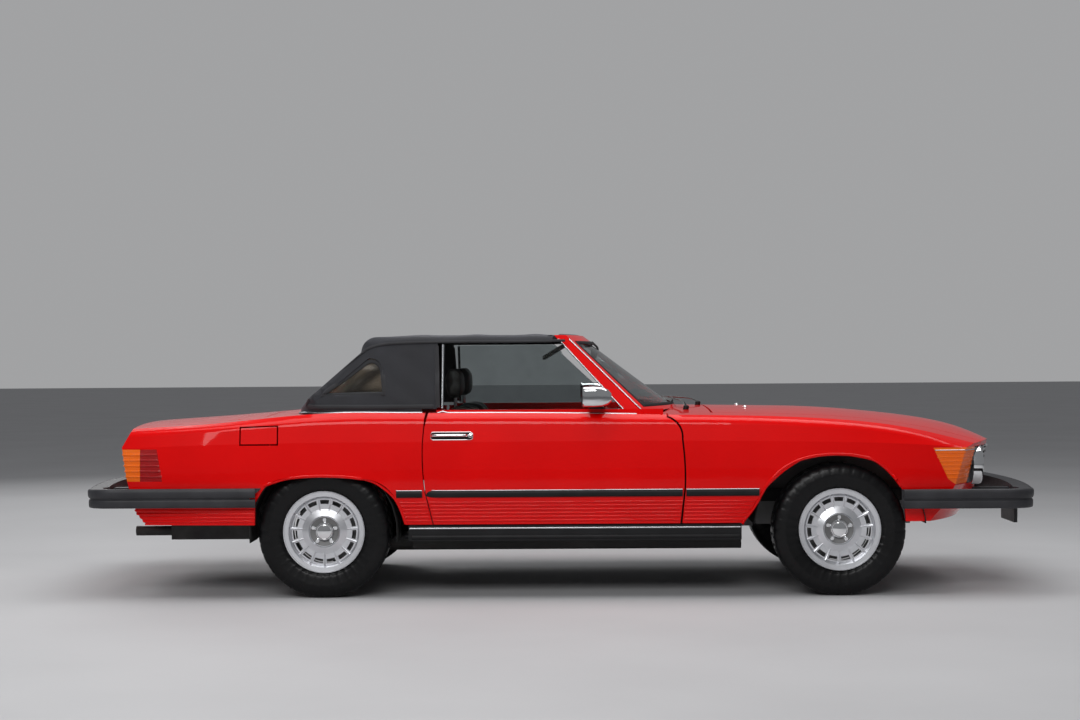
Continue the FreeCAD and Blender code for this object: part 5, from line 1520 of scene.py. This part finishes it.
def side_ribs():
    """The rounded faces of the ribs between the flutes."""
    for word, side in SIDES.items():
        for name, node, low, high in (("Door_ribs", "door_" + word, -0.63, 0.59),
                                      ("Fender_ribs", "front_fender_" + word, 0.56, 1.0),
                                      ("Quarter_ribs", "rear_quarter_" + word, -2.11, -0.6)):
            body = node if name == "Door_ribs" else "car_body"
            built = Build()
            for z in RIB_LEVELS + [RIB_LEVELS[-1] + RIB_PITCH]:
                width = 0.0098 if z < RIB_LEVELS[-1] + 0.001 else 0.009
                for points, facing in runs_on(node, z, side, low, high):
                    built.swept(points, lens_profile(width, 0.0034, 5), facing)
            built.made(f"{name}_{word}", PAINT, body)


BUMPER_PROFILES = {
    "_face": [
        (-0.004, -0.03), (0.004, -0.0295), (0.0085, -0.024), (0.0105, -0.014), (0.011, -0.002),
        (0.01, 0.006), (0.0075, 0.0115), (0.002, 0.015), (-0.004, 0.0165)],
    "_skirt": [
        (-0.004, -0.076), (0.002, -0.0745), (0.0055, -0.07), (0.0065, -0.062), (0.0065, -0.044),
        (0.0055, -0.039), (0.002, -0.0355), (-0.004, -0.034)]}
BUMPER_CORNER = (2.1, 0.7)


def bumper_faces():
    """Rounded rubber faces that wrap round each bumper, over its stepped beam."""
    for name, node, end, side_end, top in (
            ("Front_bumper", "front_bumper", 1, 1.622, 0.508),
            ("Rear_bumper", "rear_bumper", -1, -1.44, 0.53)):
        tree = tree_of([node])
        corner_x, corner_y = BUMPER_CORNER
        height = top - 0.016
        line = []
        for side in (-1, 1):
            corner = []
            for n in range(24):
                x = side_end + (end * corner_x - side_end) * n / 23
                corner.append(side_hit(tree, x, height, side))
            for n in range(1, 15):
                turn = radians(90 * (1 - n / 15))
                aim = Vector((end * cos(turn), side * sin(turn), 0))
                core = Vector((end * corner_x, side * corner_y, height))
                corner.append(hit(tree, core + aim, -aim))
            if side < 0:
                line += corner
            else:
                line += [on_end(-corner_y + 2 * corner_y * n / 28, height, end, tree)
                         for n in range(1, 28)]
                line += corner[::-1]
        line = [(at, normal) for at, normal in line if at]
        points = [at for at, _ in line]
        facing = [Vector((n.x, n.y, 0)).normalized() for _, n in line]
        for part, profile in BUMPER_PROFILES.items():
            flipped = [(u, -end * v) for u, v in profile]
            Build().swept(points, flipped, facing).made(name + part, BUMPER_RUBBER)


GLASS_HEIGHTS = (0.9, 1.206)


def window_frames():
    """Bright upright frame at the rear edge of each door glass."""
    for word, side in SIDES.items():
        body = "door_" + word
        tree = tree_of([f"door_glass_{word}"])
        upright, facing = [], []
        low, high = GLASS_HEIGHTS
        for n in range(21):
            z = low + (high - low) * n / 20
            for x in (-0.56, -0.556, -0.552, -0.545):
                at, normal = side_hit(tree, x, z, side)
                if at:
                    upright.append(at)
                    facing.append(normal)
                    break
        strip("Window_frame_" + word, DULL_CHROME, upright, (0.013, 0.004), facing, body)


# ---------------------------------------------------------------- engine bay and boot
def ribbed_cover(built, low, high, count):
    """A cast cover with cooling ribs along it."""
    built.box(low, high, 0.012)
    for n in range(count):
        y = low[1] + (high[1] - low[1]) * (n + 1) / (count + 1)
        built.box((low[0] + 0.03, y - 0.003, high[2] - 0.002),
                  (high[0] - 0.03, y + 0.003, high[2] + 0.006), 0.0015)


def engine_bay():
    """Cam covers, air cleaner, battery, bottle, booster, hoses and radiator."""
    covers, black, bright = Build(), Build(), Build()
    for side in (-1, 1):
        ribbed_cover(
            covers, (1.05, side * 0.2 - 0.075, 0.735), (1.62, side * 0.2 + 0.075, 0.776), 6)
        for n in range(4):
            covers.swept(smooth_path([
                (1.12 + 0.14 * n, side * 0.1, 0.77), (1.12 + 0.14 * n, side * 0.06, 0.783),
                (1.12 + 0.14 * n, 0.0, 0.785)], 5), circle(0.017, 12), (1, 0, 0))
    covers.made("Cam_covers", CAST)
    black.turned((1.34, 0, 0.778), (0, 0, 1), [
        (-0.004, 0.15), (0.004, 0.16), (0.02, 0.16), (0.026, 0.152), (0.028, 0.06),
        (0.034, 0.05), (0.035, 0.004)], 48)
    black.box((1.02, 0.36, 0.668), (1.24, 0.52, 0.8), 0.008)
    black.box((1.5, -0.53, 0.662), (1.66, -0.36, 0.77), 0.02)
    black.turned((0.9, 0.4, 0.655), (1, 0, 0), [
        (-0.02, 0.1), (0.0, 0.112), (0.012, 0.112), (0.06, 0.096), (0.068, 0.05), (0.16, 0.032),
        (0.162, 0.004)], 40)
    for y, rise in ((-0.17, 0.0), (0.17, 0.012)):
        black.swept(smooth_path([
            (1.62, y, 0.74), (1.72, y * 1.3, 0.755 + rise), (1.83, y * 1.7, 0.735),
            (1.865, y * 1.8, 0.7)], 6), circle(0.02, 14), (0, 1, 0))
    black.made("Engine_fittings", TRIM_RUBBER, "car_body", "black_paint")
    for n in range(2):
        bright.turned((1.07 + 0.12 * n, 0.44, 0.799), (0, 0, 1),
                      [(0.0, 0.01), (0.012, 0.0095), (0.013, 0.002)], 16)
    bright.turned((1.34, 0, 0.812), (0, 0, 1), [
        (0.0, 0.014), (0.01, 0.014), (0.018, 0.006), (0.019, 0.001)], 6)
    bright.turned((1.2, 0.2, 0.778), (0, 0, 1), [
        (0.0, 0.03), (0.014, 0.029), (0.02, 0.02), (0.021, 0.002)], 24)
    bright.made("Engine_bright_parts", DULL_CHROME)
    core, tanks = Build(), Build()
    for n in range(60):
        y = -0.295 + 0.01 * n
        core.box((1.868, y - 0.0012, 0.455), (1.9, y + 0.0012, 0.69))
    for n in range(12):
        z = 0.465 + 0.0195 * n
        core.box((1.872, -0.298, z - 0.0015), (1.897, 0.298, z + 0.0015))
    core.made("Radiator_core", DULL_CHROME, "car_body", "cast_metal")
    for low, high in ((0.69, 0.722), (0.425, 0.455)):
        tanks.box((1.862, -0.32, low), (1.906, 0.32, high), 0.01)
    tanks.made("Radiator_tanks", BLACK_PAINT)


def under_lids():
    """Stiffening frames under the bonnet and the boot lid."""
    for name, lid, rear, front, half in (("Hood_frame", "hood", 0.8, 2.02, 0.6),
                                         ("Lid_frame", "boot_lid", -2.02, -1.47, 0.56)):
        tree = tree_of([lid])
        built = Build()

        def under(x, y):
            at = hit(tree, Vector((x, y, 0.55)), Vector((0, 0, 1)))[0]
            return (at or Vector((x, y, 0.8))) - Vector((0, 0, 0.001))

        steps = 18
        lines = [[(rear + (front - rear) * n / steps, y) for n in range(steps + 1)]
                 for y in (-half, half)]
        lines += [[(x, -half + 2 * half * n / steps) for n in range(steps + 1)]
                  for x in (rear, (rear + front) / 2, front)]
        lines += [[(rear + (front - rear) * n / steps, side * half * (1 - n / steps * 0.9))
                   for n in range(steps + 1)] for side in (-1, 1)]
        for line in lines:
            built.swept([under(x, y) for x, y in line], lens_profile(0.045, 0.012), (0, 0, -1))
        built.made(name, PAINT, lid)


def boot():
    """A mat on the boot floor."""
    rows = []
    for x in [-1.98 + 0.0315 * n for n in range(21)]:
        rows.append([Vector((x, y, 0.437 + 0.0008 * sin(x * 90) * cos(y * 70)))
                     for y in [-0.565 + 0.0565 * k for k in range(21)]])
    obj = Build().grid(rows).made("Boot_mat_sheet", CARPET)
    modified(obj, "SOLIDIFY", thickness=0.003, offset=0)
    finish_piece(obj, CARPET)


# ---------------------------------------------------------------- stage
def stage():
    """A grey floor, a plain backdrop and three large lamps."""
    bpy.ops.mesh.primitive_plane_add(size=160, location=(0, 0, 0))
    floor = bpy.context.object
    floor.name = "Floor"
    material, bsdf = surface("Floor_paint", (0.5, 0.5, 0.51), 0.75)
    wire(material, bsdf, Base_Color=worn_colour(
        material, place(material), (0.5, 0.5, 0.51), (0.48, 0.48, 0.49), (0.52, 0.52, 0.53), 0.8))
    dress(floor, material)
    world = bpy.data.worlds.new("World")
    bpy.context.scene.world = world
    world.use_nodes = True
    seen = add(world, "LightPath").outputs["Is Camera Ray"]
    wire(world, world.node_tree.nodes["Background"], Strength=1.0,
         Color=mix(world, seen, (0.2, 0.203, 0.21), (0.36, 0.362, 0.368)))
    area_light("Over_light", (0.3, -0.6, 5.6), (0, 0, 0.3), (8.5, 3.6), 285)
    area_light("Side_light", (-1.5, -9.5, 5.4), (0.2, 0, 0.5), (7.0, 3.0), 420)
    area_light("Back_light", (-4.5, 7.0, 5.0), (0, 0, 0.5), (6.0, 3.0), 200)
    bpy.context.scene.view_settings.view_transform = "Standard"


for make in (
        camera, stage, tyres, wheel_details, roof, rub_strips, sill_trims, belt_trims, screen_trims,
        wipers, mirrors, handles, corner_lamps, headlamps, grille, plates, arch_lips,
        wheel_housings, seats, steering, dashboard, console, door_cards, side_ribs, bumper_faces,
        window_frames, engine_bay, under_lids, boot):
    make()
